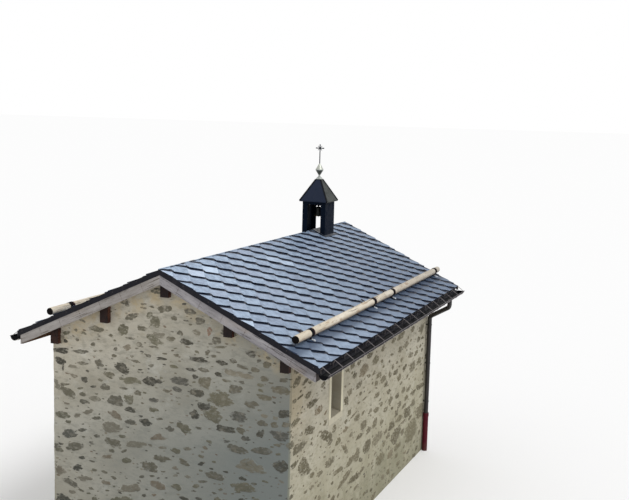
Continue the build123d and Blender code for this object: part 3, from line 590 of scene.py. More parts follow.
for face, text, shift, size_share, seed in (
        ("near", near_stones, (24, 11), 1 / 1.7, 21), ("right", right_stones, (85, 0), 1 / 1.6, 22),
        ("far", "", None, None, 23), ("left", "", None, None, 24)):
    rng = np.random.default_rng(seed)
    stones = listed(text, shift, size_share, rng) if text else np.zeros((0, 6))
    # from large to small: the widths from and to, the gap between two, and how many places are tried
    tries = ((0.46, 0.22, 0.035, 150 if text else 500), (0.24, 0.12, 0.030, 250 if text else 700),
             (0.14, 0.06, 0.024, 450), (0.07, 0.03, 0.016, 500))
    points, faces, tones, rims = stone_mesh(face, fill_face(face, stones, rng, tries), rng)
    make_piece(f"{face}_wall_stones", points, faces, [wall_stone], "stone", angle=50,
               values={"tone": tones, "rim": rims})


# Inside, in the window reveals and round the door the same walls are plastered smooth. The surrounds of the two
# windows are bands of paler mortar, floated smooth and a finger proud of the wall.
def dress(material, *names):
    """Gives CAD pieces their finish."""
    for name in names:
        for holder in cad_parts[name].material_slots:
            holder.material = material


inner_face = wall_half - 0.500
wall_plaster, shader, place = new_finish("wall_plaster", 0.93, 0.25)
lime = placed(lime_group, Place=place, Smear=0.35)
# painted shade: the plaster within the side walls' thickness, in the window reveals, is painted darker brown
paint(shader, coats(lime["Color"], ((186, 180, 164), 0.35),
                    ((112, 103, 80), abs(apart(place)[0]), inner_face + 0.005, inner_face + 0.030, 0.40)))
bump(shader, lime["Height"], 0.003, 0.6)
dress(wall_plaster, "near_gable_wall", "far_gable_wall", "right_side_wall", "left_side_wall")

surround_mortar, shader, place = new_finish("surround_mortar", 0.9, 0.25)
lime = placed(lime_group, Place=place, Smear=0.45)
x, _, z = apart(place)
# painted light and shade: the front faces of the bands are painted paler, most above the sill, and their faces in the
# reveals darker
upper = ease(z, window_low - 0.02, window_low + 0.03, 0.15, 0.75)
paint(shader, coats(
    lime["Color"], ((188, 181, 162), 0.55),
    ((222, 216, 190), ease(abs(x), wall_half + 0.002, wall_half + 0.009) * upper),
    ((112, 103, 80), abs(x), wall_half + 0.001, wall_half - 0.004, 0.28),
    ((142, 136, 116), noise(place, 5.0, (1, 1, 0.35)), 0.55, 0.75, 0.3)))
bump(shader, lime["Height"], 0.002, 0.5)
dress(surround_mortar, "window_surrounds")


# Windows: a small frame of stained softwood deep in each reveal, fixed to the masonry. Plain glass is set in it,
# dusty here and there.
def vector_math(operation, *values, key=0):
    """The result of a Vector Math node."""
    return give("ShaderNodeVectorMath", key, dict(enumerate(values)), operation=operation)


# Wood grain as a group. The place has its Y along the grain and the pith on that axis. Rings are the distance to
# the pith, which wanders slowly along the trunk, and late wood is the dark end of each ring.
grain_group, place, ring_count = new_group("wood_grain", ("Ring", "Fibre", "Cloud"), "Ring")
wander = give("ShaderNodeTexNoise", "Color", {"Vector": stretched(place, (2.2, 0.5, 2.2)), "Scale": 2.2, "Detail": 2})
far_out = vector_math("ADD", vector_math("MULTIPLY", place, (1, 0, 1)),
                      vector_math("MULTIPLY", wander, (0.05, 0.0, 0.05)))
ring = math_node("FRACT", vector_math("LENGTH", far_out, key=1) * ring_count)
add("NodeGroupOutput", {"Ring": ring ** 2.2 * ease(ring, 1.0, 0.93), "Fibre": noise(place, 60.0, (9, 0.35, 9), 4, 0.6),
                        "Cloud": noise(place, 4.0, (2.2, 0.4, 2.2), 4, 0.6)})


def wood(name, place_of, dark, mid, light, ring=150.0, rough=0.7, depth=0.0015, ring_share=0.5):
    """A timber finish: three colours through rings, fibres and clouds of the grain. place_of turns the place on
    the object into one with its Y along the grain."""
    material, shader, place = new_finish(name, rough, 0.3)
    grain = placed(grain_group, Place=place_of(place), Ring=ring)
    colour = coats(ramp(grain["Cloud"], (0.3, dark), (0.5, mid), (0.7, light)), (dark, grain["Ring"] * ring_share),
                   (light, grain["Fibre"], 0.5, 0.75, 0.5), (dark, grain["Fibre"], 0.46, 0.26, 0.55))
    paint(shader, colour)
    bump(shader, grain["Fibre"] - grain["Ring"] * 0.3, depth, 0.7)
    return material, shader, place, colour, grain


def combined(x, y, z):
    """A place of three coordinates."""
    return give("ShaderNodeCombineXYZ", 0, {0: x, 1: y, 2: z})


def turned(order, shift=(0, 0, 0)):
    """The place with its axes in another order, after a shift."""
    def turn(place):
        axes = dict(zip("XYZ", apart(stretched(place, shift=shift))))
        return combined(*[axes[letter] for letter in order])
    return turn


dress(wood("window_timber", turned("XZY", (0.3, 0.13, 0)), (72, 46, 30), (98, 66, 44), (122, 88, 60), ring=300)[0],
      "window_frames")

pane, shader, place = new_finish("window_pane", 0.06, Metallic=0.0, IOR=1.45, **{"Transmission Weight": 0.85})
paint(shader, mix(ease(noise(place, 6.0, (1, 1, 0.6)), 0.45, 0.75), (176, 190, 192), (128, 132, 124)))
paint(shader, ease(noise(place, 14.0), 0.4, 0.8, 0.03, 0.22), "Roughness")
dress(pane, "window_glass")


# Door: ledged planks in a stained softwood frame, behind the doorway of the far gable, on a worn stone step. Two
# forged strap hinges, a lock plate and a ring to pull it by are nailed on.
def wrapped(value, half):
    """A value brought into the range from minus to plus the half, over and over."""
    return math_node("WRAP", value, half, -half)


plank_half, door_face, hinge_levels, lock_x = 0.0675, 3.700, (0.47, 1.84), -0.38
door_timber, shader, place, colour, grain = wood(
    "door_timber", turned("XZY", (0.08, 3.7, 0)), (58, 36, 22), (86, 54, 34), (112, 76, 48), ring=120)
x, _, z = apart(place)
joint = ease(abs(wrapped(x, plank_half)), plank_half - 0.0050, plank_half - 0.0010)
paint(shader, coats(colour, ((22, 15, 10), joint), ((128, 112, 90), z, 0.75, 0.15, 0.45)))
bump(shader, grain["Fibre"] * 0.2 - joint, 0.004)
dress(door_timber, "door_leaf")
door_iron, shader, place = new_finish("door_iron", 0.55)
paint(shader, mix(ease(noise(place, 30.0, (1, 1, 1), 4, 0.6), 0.45, 0.65), (30, 29, 31), (62, 46, 38)))


def forged_plates(outlines, thick):
    """Flat plates on the door face: each outline of across and height is the back edge, and its copy drawn in
    by a chamfer is the front edge."""
    points, faces, base, chamfer, sunk = [], [], 0, 0.0025, 0.0004
    for outline in outlines:
        count, ring, middle = len(outline), base + np.arange(len(outline)), outline.mean(0)
        inner = middle + (outline - middle) * (1 - chamfer / np.abs(outline - middle).max(0))
        for level, edge in ((-sunk, outline), (thick * 0.7, outline), (thick, inner)):
            points.append(np.insert(edge, 1, door_face + level, axis=1))
        faces += [base + grid_faces(3, count, closed=True), ring[None], ring[None, ::-1] + 2 * count]
        base += 3 * count
    return np.vstack(points), faces


def turned_shape(middle, profile, angles):
    """A profile of radius and level turned about a level axis through the middle that runs along the ridge: the
    radius times the cosine goes across and times the sine goes up, in one row for each point of the profile."""
    radius, level = np.asarray(profile, float).T[:, :, None]
    return np.stack([middle[0] + radius * np.cos(angles), middle[1] + level + 0 * angles,
                     middle[2] + radius * np.sin(angles)], -1).reshape(-1, 3)


hinge = np.array([(0.452, -0.019), (0.16, -0.012), (0.135, -0.022), (0.110, -0.020), (0.078, 0.0), (0.110, 0.020),
                  (0.135, 0.022), (0.16, 0.012), (0.452, 0.019)])
plate = np.array([(-0.405, -0.110), (-0.355, -0.110), (-0.348, -0.095), (-0.348, 0.095), (-0.355, 0.110),
                  (-0.405, 0.110), (-0.412, 0.095), (-0.412, -0.095)])
make_piece("door_hinges_and_lock", *forged_plates([hinge + (0, level) for level in hinge_levels]
                                                  + [plate + (0, 1.10)], 0.005), [door_iron], "forged_steel", angle=30)
heads = [(across, up) for up in hinge_levels for across in (0.43, 0.33, 0.23, 0.125)]
heads += [(lock_x, 1.19), (lock_x, 1.01)]
dome = ((0.0095, 0.0045), (0.0085, 0.0075), (0.0045, 0.0092), (0.0, 0.0096))
turn = np.linspace(0, 2 * math.pi, 10, endpoint=False)
make_piece("door_nails", np.vstack([turned_shape((across, door_face, up), dome, turn) for across, up in heads]),
           copies(grid_faces(4, 10, closed=True), len(heads), 40), [door_iron], "forged_steel", angle=60)
# the ring is a torus that hangs from a turned boss
rod, ring_radius = 0.0055, 0.042
a, b = np.linspace(0, 2 * math.pi, 29)[:, None], turn
reach = ring_radius + rod * np.cos(b)
ring = np.stack([lock_x + reach * np.sin(a), door_face + 0.016 + rod * np.sin(b) + 0 * a,
                 1.075 + reach * np.cos(a)], -1).reshape(-1, 3)
boss = ((0.013, 0.004), (0.013, 0.012), (0.009, 0.020), (0.009, 0.024), (0.0, 0.026))
make_piece("door_ring", np.vstack([ring, turned_shape((lock_x, door_face, 1.117), boss, turn)]),
           np.vstack([grid_faces(29, 10, closed=True), grid_faces(5, 10, closed=True) + len(ring)]),
           [door_iron], "forged_steel", angle=50)
dress(wood("door_frame_timber", turned("XZY", (0.5, 3.6, 0)), (62, 40, 26), (92, 60, 38), (118, 82, 54),
           ring=160)[0], "door_frame")

flag_stone, shader, place = new_finish("flag_stone", 0.7)
flags = add("ShaderNodeTexBrick", {
    "Vector": place, "Color1": tint((116, 112, 104)), "Color2": tint((136, 131, 121)), "Mortar": tint((84, 80, 72)),
    "Scale": 1.0, "Mortar Size": 0.008, "Mortar Smooth": 0.3, "Brick Width": 0.62, "Row Height": 0.42}, offset=0.5)
flag, joint = (Wire(socket) for socket in flags.outputs[:2])
layers = noise(place, 9.0, (1, 1, 1), 6, 0.65)
paint(shader, coats(flag, ((92, 90, 86), layers, 0.3, 0.7, 0.5),
                    ((160, 156, 146), noise(place, 130.0), 0.55, 0.75, 0.5)))
bump(shader, layers * 0.5 - joint, 0.006)
dress(flag_stone, "floor", "door_threshold")


# Purlins and plates: squared larch, stained dark red brown, built into both gables with their sawn ends showing
# a hand's breadth out. Each has its own pith, so that its rings are round on its end.
purlin_step, purlin_top, purlin_end = 1.105, 4.90, 4.150


def purlin_place(place):
    """The place measured from the pith of the nearest purlin, a little below the middle of its section."""
    x, y, z = apart(place)
    middle = math_node("ROUND", abs(x) / 1.1) * purlin_step
    return combined((abs(x) - middle) + 0.012, y, (z - (middle * -rake + purlin_top)) + 0.13)


purlin_timber, shader, place, colour, _ = wood(
    "purlin_timber", purlin_place, (44, 24, 18), (70, 38, 28), (98, 58, 42), ring=140, rough=0.75, ring_share=0.8)
x, y, _ = apart(place)
# the sawn ends are painted near black, darker towards the right: partly their end grain and partly painted shade under
# the eaves
end = ease(abs(y), purlin_end - 0.015, purlin_end - 0.0015)
checks = ease(noise(stretched(place, (1, 0.05, 1)), 26.0, (1, 1, 1), 3, 0.7), 0.44, 0.36)
paint(shader, coats(colour, ((22, 13, 12), end * ease(x, -2.3, 1.2, 0.70, 0.94)), ((14, 8, 7), end * checks)))
dress(purlin_timber, "ridge_purlin", "mid_purlins", "wall_plates")


# Rafters and roof boards: sawn spruce, orange brown with age. The rafters lie down the slope at 0.85 m, and the
# boards run level across them, planed on their underside, with nails at each rafter.
slope_group, place = new_group("down_the_slope", ("Level", "Down", "Up"))
# Down is the distance from the ridge along the slope, Up the height off it, Level the distance along the ridge.
fall = math.atan(rake)
x, y, z = apart(place)
below = ridge_height - z
add("NodeGroupOutput", {"Level": y, "Down": abs(x) * math.cos(fall) + below * math.sin(fall),
                        "Up": abs(x) * math.sin(fall) + below * -math.cos(fall)})
board_width, rafter_half, rafter_shift = 0.14, 0.425, 0.085


def on_roof(place):
    """The place as its distances along the ridge, down the slope and off it."""
    return placed(slope_group, Place=place).values()


def rafter_place(place):
    """The place on the nearest rafter, with Y down the slope."""
    level, down, up = on_roof(place)
    return combined(wrapped(level + rafter_shift, rafter_half) + 0.02, down, up + 0.16)


def board_place(place):
    """The place on the nearest roof board, with Y along it and its pith outside it."""
    level, down, up = on_roof(place)
    local = math_node("WRAP", down, board_width, 0.0)
    number = math_node("FLOOR", down / board_width)
    return combined(local - board_width / 2, number * 7.3 + level, up + 0.10)


def length(first, second):
    """How far two steps at right angles go."""
    return (first ** 2.0 + second ** 2.0) ** 0.5


spruce = (74, 50, 34), (104, 74, 52), (134, 104, 78)
dress(wood("rafter_timber", rafter_place, *spruce, ring=170)[0], "rafters")
board_timber, shader, place, colour, grain = wood("board_timber", board_place, *spruce, ring=130)
level, down, _ = on_roof(place)
edge = math_node("PINGPONG", down, board_width / 2)
open_joint = ease(edge, 0.0030, 0.0012)
nail = length(wrapped(level + rafter_shift, rafter_half), edge - 0.03)
paint(shader, coats(colour, ((30, 18, 12), open_joint), ((40, 34, 32), nail, 0.006, 0.003)))
bump(shader, grain["Fibre"] * 0.3 - open_joint, 0.004)
dress(board_timber, "roof_boards_right", "roof_boards_left")
fascia_timber, shader, place, colour, _ = wood("fascia_timber", turned("XYZ", (0.12, 0, 0.2)), *spruce, ring=120)
paint(shader, coats(colour, ((46, 42, 44), abs(apart(place)[0]), 2.728, 2.7335, 0.85)))
dress(fascia_timber, "fascia_boards")


# Slates: split blue grey slate in pointed scales nearly half a metre wide, each course lapping the one below
# and staggered by half a slate, over a starter course at the eave. Their broken edges are painted near black as painted
# shade.
boards_to_top, slate_length, slate_half, slate_thick, foot_rise = 0.040, 0.500, 0.2405, 0.017, 0.168
course, slope_length, lay = 0.1992, 3.088, 0.0854
slate_step, verge_run, past_verge = 0.488, 8.6, 0.0035


def on_slope(side, level, down, lift):
    """Points over the roof boards of one side, from the distance along the verge, down from the ridge, and up."""
    x = down * math.cos(fall) + (lift - boards_to_top) * math.sin(fall)
    z = ridge_height - down * math.sin(fall) + (lift - boards_to_top) * math.cos(fall)
    return np.stack([side * x, level - verge_run / 2, z], -1)


def slate_courses(side, rng):
    """Every slate as a thin slab on a grid of seven by five points, above and below. Its sides are upright, and
    its foot falls straight from both corners to a point. The lift grows evenly from its head to its foot."""
    number = np.arange(17)
    first = np.where(number % 2, 0.453, 0.211) - slate_step
    middle, tip = np.meshgrid(np.arange(19) * slate_step, 0.100 + course * number, indexing="xy")
    middle, tip = (middle + first[:, None]).ravel(), tip.ravel()
    keep = (middle + slate_half > 0.012) & (middle - slate_half < verge_run - 0.012)
    middle, tip = middle[keep], tip[keep]
    count = len(middle)
    shade = rng.normal(0, 1, count)
    # the few palest slates of the near end, by their place along and down
    for level, down, bright in ((0.689, 0.311, 8.4), (1.167, 0.322, 7.0), (0.022, 0.133, 5.2), (0.033, 1.733, 8.0),
                                (3.35, 0.50, 5.6), (3.60, 0.65, 6.4)):
        shade[np.hypot(middle - level, tip - 0.1 - down).argmin()] = bright
    middle = middle + rng.normal(0, 0.003, count)
    tip = tip + rng.normal(0, 0.004, count)
    left, right = (np.clip(middle + way * slate_half + rng.normal(0, 0.002, count), -past_verge,
                           verge_run + past_verge)[:, None, None] for way in (-1, 1))
    kept = [middle - verge_run / 2, tip]
    middle, tip = middle[:, None, None], tip[:, None, None]
    wide, deep = 7, 5
    u, v = np.linspace(0, 1, wide)[None, None, :], np.linspace(0, 1, deep)[None, :, None]
    level = left + (right - left) * u + 0 * v
    low = tip - foot_rise * (np.abs(level - middle) / slate_half) + rng.normal(0, 0.0025, (count, 1, wide))
    head = np.maximum(tip - slate_length, -0.014 if side > 0 else 0.0)
    low = np.clip(low, head + 0.004, slope_length)
    down = head + (low - head) * v
    skew = np.radians(rng.normal(0, 0.35, count))[:, None, None]
    level = np.clip(level + skew * (down - tip + 0.2), -past_verge, verge_run + past_verge)
    down = np.minimum(down, slope_length)
    lift = lay * (down - (tip - slate_length)) - 0.015 + rng.normal(0, 0.0010, (count, 1, 1))
    lift = lift + (level - middle) * rng.normal(0, 0.003, (count, 1, 1))
    lift = np.minimum(lift, 0.005 + 0.20 * np.maximum(down, 0))
    thick = slate_thick * (1 + rng.normal(0, 0.10, (count, 1, 1))) + rng.normal(0, 0.0005, (count, deep, wide))
    points = np.stack([on_slope(side, level, down, lift + thick), on_slope(side, level, down, lift)], 1)
    sheet, grid, half = grid_faces(deep, wide), np.arange(deep * wide).reshape(deep, wide), deep * wide
    loop = np.r_[grid[0, :-1], grid[:-1, -1], grid[-1, :0:-1], grid[:0:-1, 0]]
    rim = np.stack([loop, np.roll(loop, -1), np.roll(loop, -1) + half, loop + half], -1)
    faces = copies(np.vstack([sheet, sheet[:, ::-1] + half, rim]), count, 2 * half)
    which = np.tile(np.repeat([0, 1], (2 * len(sheet), len(rim))), count)
    return points.reshape(-1, 3), faces, which, [np.repeat(a, 2 * half) for a in (shade, *kept)]


def eave_starters(side):
    """The short plain slates under the last course, side by side along the eave."""
    count, top = 29, 0.0115
    width = verge_run / count
    level = (np.arange(count) * width)[:, None, None] + np.array([0.002, width - 0.002])[None, None, :]
    down = np.array([slope_length - 0.28, slope_length])[None, :, None] + 0 * level
    level = level + 0 * down
    points = np.stack([on_slope(side, level, down, 0 * down + top), on_slope(side, level, down, 0 * down)], 1)
    faces = copies([[0, 1, 3, 2], [4, 6, 7, 5], [0, 4, 5, 1], [1, 5, 7, 3], [3, 7, 6, 2], [2, 6, 4, 0]], count, 8)
    return (points.reshape(-1, 3), faces, np.tile([0, 0, 1, 1, 1, 1], count),
            [np.full(8 * count, value) for value in (0, 99, 0)])


def slate_finish(name, dark, mid, light, dusty, gloss):
    """Split slate: a colour for each slate, riven layers, lichen dust and rain streaks down the slope."""
    material, shader, place = new_finish(name, 0.5, 0.3)
    shade, middle, tip = (own(place, key) for key in ("shade", "middle", "tip"))
    level, down, _ = on_roof(place)
    flat = combined(level, down, shade)
    riven = noise(flat, 9.0, (1, 1, 3.0), 6, 0.66)
    fine = noise(flat, 120.0, (1, 1, 1), 3, 0.6)
    streak = noise(flat, 8.0, (3.0, 0.5, 1.0), 4, 0.6)
    ragged = noise(flat, 40.0, (1, 1, 1), 3, 0.6)
    mauve = math_node("PINGPONG", shade * 3.7, 1.0)
    # further along and lower down the slates are darker, and just below the snow logs they are painted darker, as the
    # logs' painted shadow and damp
    far_off = ease(level, -3.8, 3.0, 0, 0.58) + ease(down, 0.3, 3.1, 0, 0.36)
    log_shadow_and_damp = ease(down, 2.44, 2.50) * ease(down, 2.84, 2.66, 0, 0.74)
    # painted shadow: a dark band lies along the feet of the slates above, where their shadow falls, widest on one side
    # of each point
    away = abs(level - middle)
    foot = (tip - course) - (slate_step / 2 - away) * (foot_rise / slate_half)
    below = ragged * 0.008 + (down - foot)
    shaded = most(math_node("GREATER_THAN", level, middle), ease(away, 0.180, 0.200))
    wide = ease(apart(place)[0], -0.02, 0.02, 0.45, 1.0) * (level * 0.0085 + 0.083) * ease(down, 0.4, 2.6, 1.28, 1.06)
    paint(shader, coats(
        ramp((shade * 0.033 + 0.43) + ease(riven, 0.3, 0.7, -0.12, 0.12), (0.2, dark), (0.45, mid), (0.75, light)),
        (dusty, streak, 0.54, 0.72, 0.40), (light, fine, 0.5, 0.75, 0.30), (dusty, mauve, 0.55, 1.0, 0.30),
        (dark, far_off), ((50, 66, 90), log_shadow_and_damp), ((3, 16, 38), below - (shaded * wide + 0.010), 0.006, -0.008)))
    paint(shader, ease(riven, 0.3, 0.7, *gloss), "Roughness")
    bump(shader, riven + fine * 0.12, 0.007, 0.7)
    return material


slate_face = slate_finish("slate_face", (88, 105, 129), (152, 171, 194), (199, 217, 238), (152, 158, 178), (0.40, 0.58))
# the slates' rims are painted near black as painted shade
shaded_slate_edge = slate_finish("shaded_slate_edge", (3, 11, 27), (6, 16, 34), (13, 26, 47), (11, 23, 42), (0.8, 0.9))
for side, word, seed in ((1, "right", 31), (-1, "left", 32)):
    points, faces, which, own_values = slate_courses(side, np.random.default_rng(seed))
    more_points, more_faces, more_which, more_values = eave_starters(side)
    make_piece(f"slate_courses_{word}", np.vstack([points, more_points]),
               np.vstack([faces, more_faces + len(points)]), [slate_face, shaded_slate_edge], "slate",
               nodes=[f"slates_{word}"], angle=30, which=np.r_[which, more_which], values={
                   key: np.r_[a, b] for key, a, b in zip(("shade", "middle", "tip"), own_values, more_values)})


# Bargeboards: a plank of larch on the rafter ends of each verge, silver grey with weather, its grain standing
# proud, checked along its length and nailed in pairs.
def barge_place(place):
    """The place on a bargeboard, with Y down the slope."""
    level, down, up = on_roof(place)
    return combined(up + 0.28, math_node("SIGN", apart(place)[0]) * 5.0 + down,
                    level + math_node("SIGN", level) * -4.24)


bargeboard_timber, shader, place, colour, grain = wood(
    "bargeboard_timber", barge_place, (102, 99, 101), (148, 145, 148), (178, 175, 177), ring=110, rough=0.85,
    depth=0.003, ring_share=0.6)
_, down, up = on_roof(place)
along = barge_place(place)
long_check = ease(noise(along, 9.0, (7.0, 0.22, 7.0), 5, 0.62), 0.405, 0.375)
row = wrapped(down, 0.22)
nail = length(row, math_node("PINGPONG", up + 0.16, 0.05))
# painted light: the half of each bargeboard over the left slope is painted paler and warmer
paint(shader, coats(
    colour, ((52, 46, 44), long_check * 0.8),
    ((150, 136, 122), noise(along, 2.0, (1.5, 0.6, 1.5), 4, 0.6), 0.55, 0.75, 0.55),
    ((186, 175, 152), apart(place)[0], 0.02, -0.02, 0.22), ((92, 84, 82), ease(up, -0.13, -0.055) * 0.45),
    ((58, 46, 42), nail, 0.0065, 0.0035), ((84, 66, 56), ease(abs(row), 0.012, 0.004) * 0.25)))
bump(shader, grain["Fibre"] - long_check * 0.8, 0.003)
dress(bargeboard_timber, "near_bargeboards", "far_bargeboards")


# Verge flashings: strips of brown coated sheet over the ends of the slates and the top of each bargeboard, in
# lengths that lap downhill, fixed with screws.
weather_group, place, size = new_group("weather", ("Dust", "Streak", "Speck"), "Scale")
# Dust lies in clouds, streaks run down, and specks are small and few.
place = give("ShaderNodeVectorMath", 0, {0: place, "Scale": size}, operation="SCALE")
add("NodeGroupOutput", {"Dust": ease(noise(place, 3.0, (1, 1, 1), 6, 0.65), 0.42, 0.72),
                        "Streak": ease(noise(place, 14.0, (1, 1, 0.14), 4, 0.6), 0.50, 0.74),
                        "Speck": ease(noise(place, 90.0, (1, 1, 1), 2, 0.6), 0.66, 0.76)})


def coated(name, base, faded, dust, rough=0.45, scale=1.0, metallic=0.0, streak_share=0.35, specular=0.5):
    """Paint on sheet metal: its colour, faded in clouds, streaked by rain and specked with dust."""
    material, shader, place = new_finish(name, specular=specular, Metallic=metallic)
    worn = placed(weather_group, Place=place, Scale=scale)
    colour = coats(base, (faded, worn["Dust"] * 0.55), (dust, worn["Streak"] * streak_share),
                   (dust, worn["Speck"] * 0.5))
    paint(shader, colour)
    paint(shader, ease(worn["Dust"], 0, 1, rough, min(rough + 0.25, 1.0)), "Roughness")
    bump(shader, noise(place, 5.0, (1, 1, 1), 2, 0.5), 0.004, 0.35)
    return material, shader, place, colour


flashing_sheet, shader, place, colour = coated(
    "flashing_sheet", (17, 17, 25), (24, 23, 30), (50, 48, 52), 0.55, specular=0.2)
_, down, up = on_roof(place)
lap_line = ease(abs(wrapped(down + 0.55, 1.0)), 0.0045, 0.0015)
head = ease(length(wrapped(down, 0.25), up + 0.050), 0.0065, 0.0045)
paint(shader, coats(colour, ((14, 12, 13), lap_line), ((96, 88, 86), head)))
bump(shader, (head - lap_line) + noise(place, 6.0) * 0.6, 0.003, 0.8)
dress(flashing_sheet, "near_verge_flashing", "far_verge_flashing")


# Eave flashings: a folded strip of the same sheet that hangs from under the slates, over the face of the fascia
# and into the gutter, so that wind drives no rain behind it.
def folded_strip(profile, side, half_run, lengths, thick=0.0012, overlap=0.03, step_out=0.0004):
    """Lengths of folded sheet along an eave: a profile of across and height, given its thickness at right angles
    to its run, carried along the ridge's way. Every other length steps out a little to lap its neighbours."""
    profile = np.asarray(profile, float)
    run = np.gradient(profile, axis=0)
    run /= np.linalg.norm(run, axis=1, keepdims=True)
    normal = np.stack([-run[:, 1], run[:, 0]], -1) * thick / 2
    ring = np.vstack([profile + normal, (profile - normal)[::-1]])
    levels = np.linspace(-half_run, half_run, lengths + 1)
    points = [np.column_stack([side * (ring[:, 0] + step_out * (k % 2)), np.full(len(ring), level), ring[:, 1]])
              for k in range(lengths) for level in (levels[k] - (overlap if k else 0), levels[k + 1])]
    i, around = np.arange(len(profile) - 1), len(ring)
    end = np.stack([i, i + 1, around - 2 - i, around - 1 - i], -1)
    one = np.vstack([grid_faces(2, around, closed=True), end, end + around])
    return np.vstack(points), copies(one, lengths, 2 * around)


eave_fold = (2.7372, 3.822), (2.7372, 3.745), (2.7400, 3.728), (2.7900, 3.712), (2.8000, 3.703)
for side, word in ((1, "right"), (-1, "left")):
    make_piece(f"eave_flashing_{word}", *folded_strip(eave_fold, side, 4.262, 5), [flashing_sheet], "brown_sheet",
               angle=40)


# Gutters: half round brown sheet with a rolled bead, in three lengths joined by soldered collars, grime and painted
# shade inside.
# Thin zinc straps hold them from the fascia.
gutter_x, gutter_z, gutter_joint = 2.867, 3.715, 1.4333
gutter_sheet, shader, place, colour = coated(
    "gutter_sheet", (22, 21, 24), (30, 28, 31), (62, 60, 60), 0.5, specular=0.05)
x, y, z = apart(place)
# painted shade: the inside of the trough is painted near black, with grime at its bottom
inside = ease(length(abs(x) - gutter_x, z - gutter_z), 0.0762, 0.0745)
outside = 1.0 - inside
silt = inside * ease(z, 3.690, 3.645)
# painted highlights: the bead is painted bright, the lower outside paler towards the far end as painted sheen, and its
# lowest edge near white as a painted reflection
bead_highlight = ease(abs(x), 2.9405, 2.9425) * ease(z, 3.714, 3.718, 0, 0.8)
painted_sheen = outside * (ease(z, 3.700, 3.685) * ease(y, -0.6, 3.0, 0.15, 0.75))
paint(shader, coats(colour, ((6, 7, 12), inside * 0.9), ((30, 29, 27), silt * 0.3), ((112, 108, 110), bead_highlight),
                    ((118, 110, 116), painted_sheen), ((232, 228, 220), outside * ease(z, 3.664, 3.659))))
dress(gutter_sheet, "gutter_right", "gutter_left")

# each collar is a thin band that goes half round under the gutter
collar = (0.0788, -0.022), (0.0788, 0.022), (0.0802, 0.020), (0.0802, -0.020), (0.0788, -0.022)
half_turn = np.linspace(math.pi, 2 * math.pi, 25)
points = [turned_shape((side * gutter_x, level, gutter_z), collar, half_turn)
          for side in (1, -1) for level in (-gutter_joint, gutter_joint)]
ends = [[0, 25, 50, 75], [24, 49, 74, 99]]
make_piece("gutter_collars", np.vstack(points), copies(np.vstack([grid_faces(5, 25), ends]), len(points), 125),
           [gutter_sheet], "brown_sheet", angle=40)

dress(coated("strap_zinc", (104, 98, 98), (84, 78, 78), (128, 124, 122), 0.5, 4.0, 0.2)[0], "gutter_brackets")


# Downpipes: the same sheet, seamed up the back, in a swan neck from each gutter to the wall, with clips. Each
# ends in the socket of a red cast iron standpipe, scuffed at its foot.
dress(coated("pipe_sheet", (33, 30, 31), (44, 40, 40), (74, 71, 68), 0.40)[0],
      "downpipe_right", "downpipe_left", "downpipe_clips")

pipe_iron, shader, place, colour = coated(
    "red_pipe_iron", (82, 0, 24), (72, 3, 26), (92, 20, 36), 0.42, 2.0, specular=0.25)
rust = ease(noise(place, 26.0, (1, 1, 0.6), 5, 0.66), 0.60, 0.68)
foot = ease(apart(place)[2] + ease(noise(place, 9.0), 0.3, 0.7, -0.10, 0.10), 0.22, 0.02)
paint(shader, coats(colour, ((72, 34, 22), rust * 0.8), ((84, 60, 50), foot * 0.5)))
bump(shader, noise(place, 160.0) * 0.4 + rust, 0.0015, 0.8)
dress(pipe_iron, "standpipes")


# Snow guard: peeled spruce trunks end to end above each eave. They bend and swell a little, have healed knots,
# drying checks and a bark brown streak here and there, and their ends are sawn square, dark with weather and painted
# near black as painted shade.
log_at, log_radius = (2.295, 4.1635), 0.0662
log_runs = ((-4.067, 0.264), (0.270, 4.273))
strap_levels = (-3.447, -0.319, 0.852, 3.986)


def log_shape(side, start, end, rng):
    """A trunk as a closed tube: the radius is a mean with waves round it and along it and a round swelling at
    each knot, the axis wanders on slow sines, and both ends are flat rings down to their middle."""
    along = np.concatenate([[start] * 5, np.linspace(start, end, 110), [end] * 5])
    angle = np.linspace(0, 2 * math.pi, 28, endpoint=False)
    a, t = np.meshgrid(along, angle, indexing="ij")
    radius = log_radius + 0.0006 * np.sin(2 * t + 1.3 * a) + 0.0005 * np.sin(3 * t - 2.1 * a + 1.0)
    radius = radius + 0.0005 * np.sin(9.0 * a + 2 * t) + 0.0004 * np.sin(23.0 * a - t)
    for _ in range(9):
        where, way = rng.uniform(start + 0.2, end - 0.2), rng.uniform(0, 2 * math.pi)
        reach = np.hypot((a - where) / 0.030, np.angle(np.exp(1j * (t - way))) / 0.38)
        radius = radius + 0.0045 * np.exp(-reach ** 2) - 0.0022 * np.exp(-(reach / 0.35) ** 2)
    near = np.abs(a[..., None] - np.array(strap_levels)).min(-1)
    radius = np.where(near < 0.045, np.minimum(radius, 0.0676), radius)
    round_off = np.minimum(a - start, end - a)
    radius = radius - 0.0030 * np.exp(-round_off / 0.004)
    for ring, share in zip(range(5), (0.0, 0.25, 0.5, 0.75, 0.96)):
        radius[ring] = radius[5] * share
        radius[-1 - ring] = radius[-6] * share
    wander = 0.0020 * np.minimum(near / 0.3, 1.0)
    x = log_at[0] + radius * np.cos(t) + wander * np.sin(2.1 * a + side)
    z = log_at[1] + radius * np.sin(t) + wander * np.sin(1.7 * a + 2.0)
    which = np.zeros((len(along) - 1, 28), int)
    which[:5], which[-5:] = 1, 1
    return np.stack([side * x, a, z], -1).reshape(-1, 3), grid_faces(len(along), 28, closed=True), which.ravel()


def log_place(place):
    """The place measured from the pith of a log, slightly off its middle."""
    x, y, z = apart(place)
    return combined(abs(x) - (log_at[0] + 0.008), y, z - (log_at[1] - 0.006))


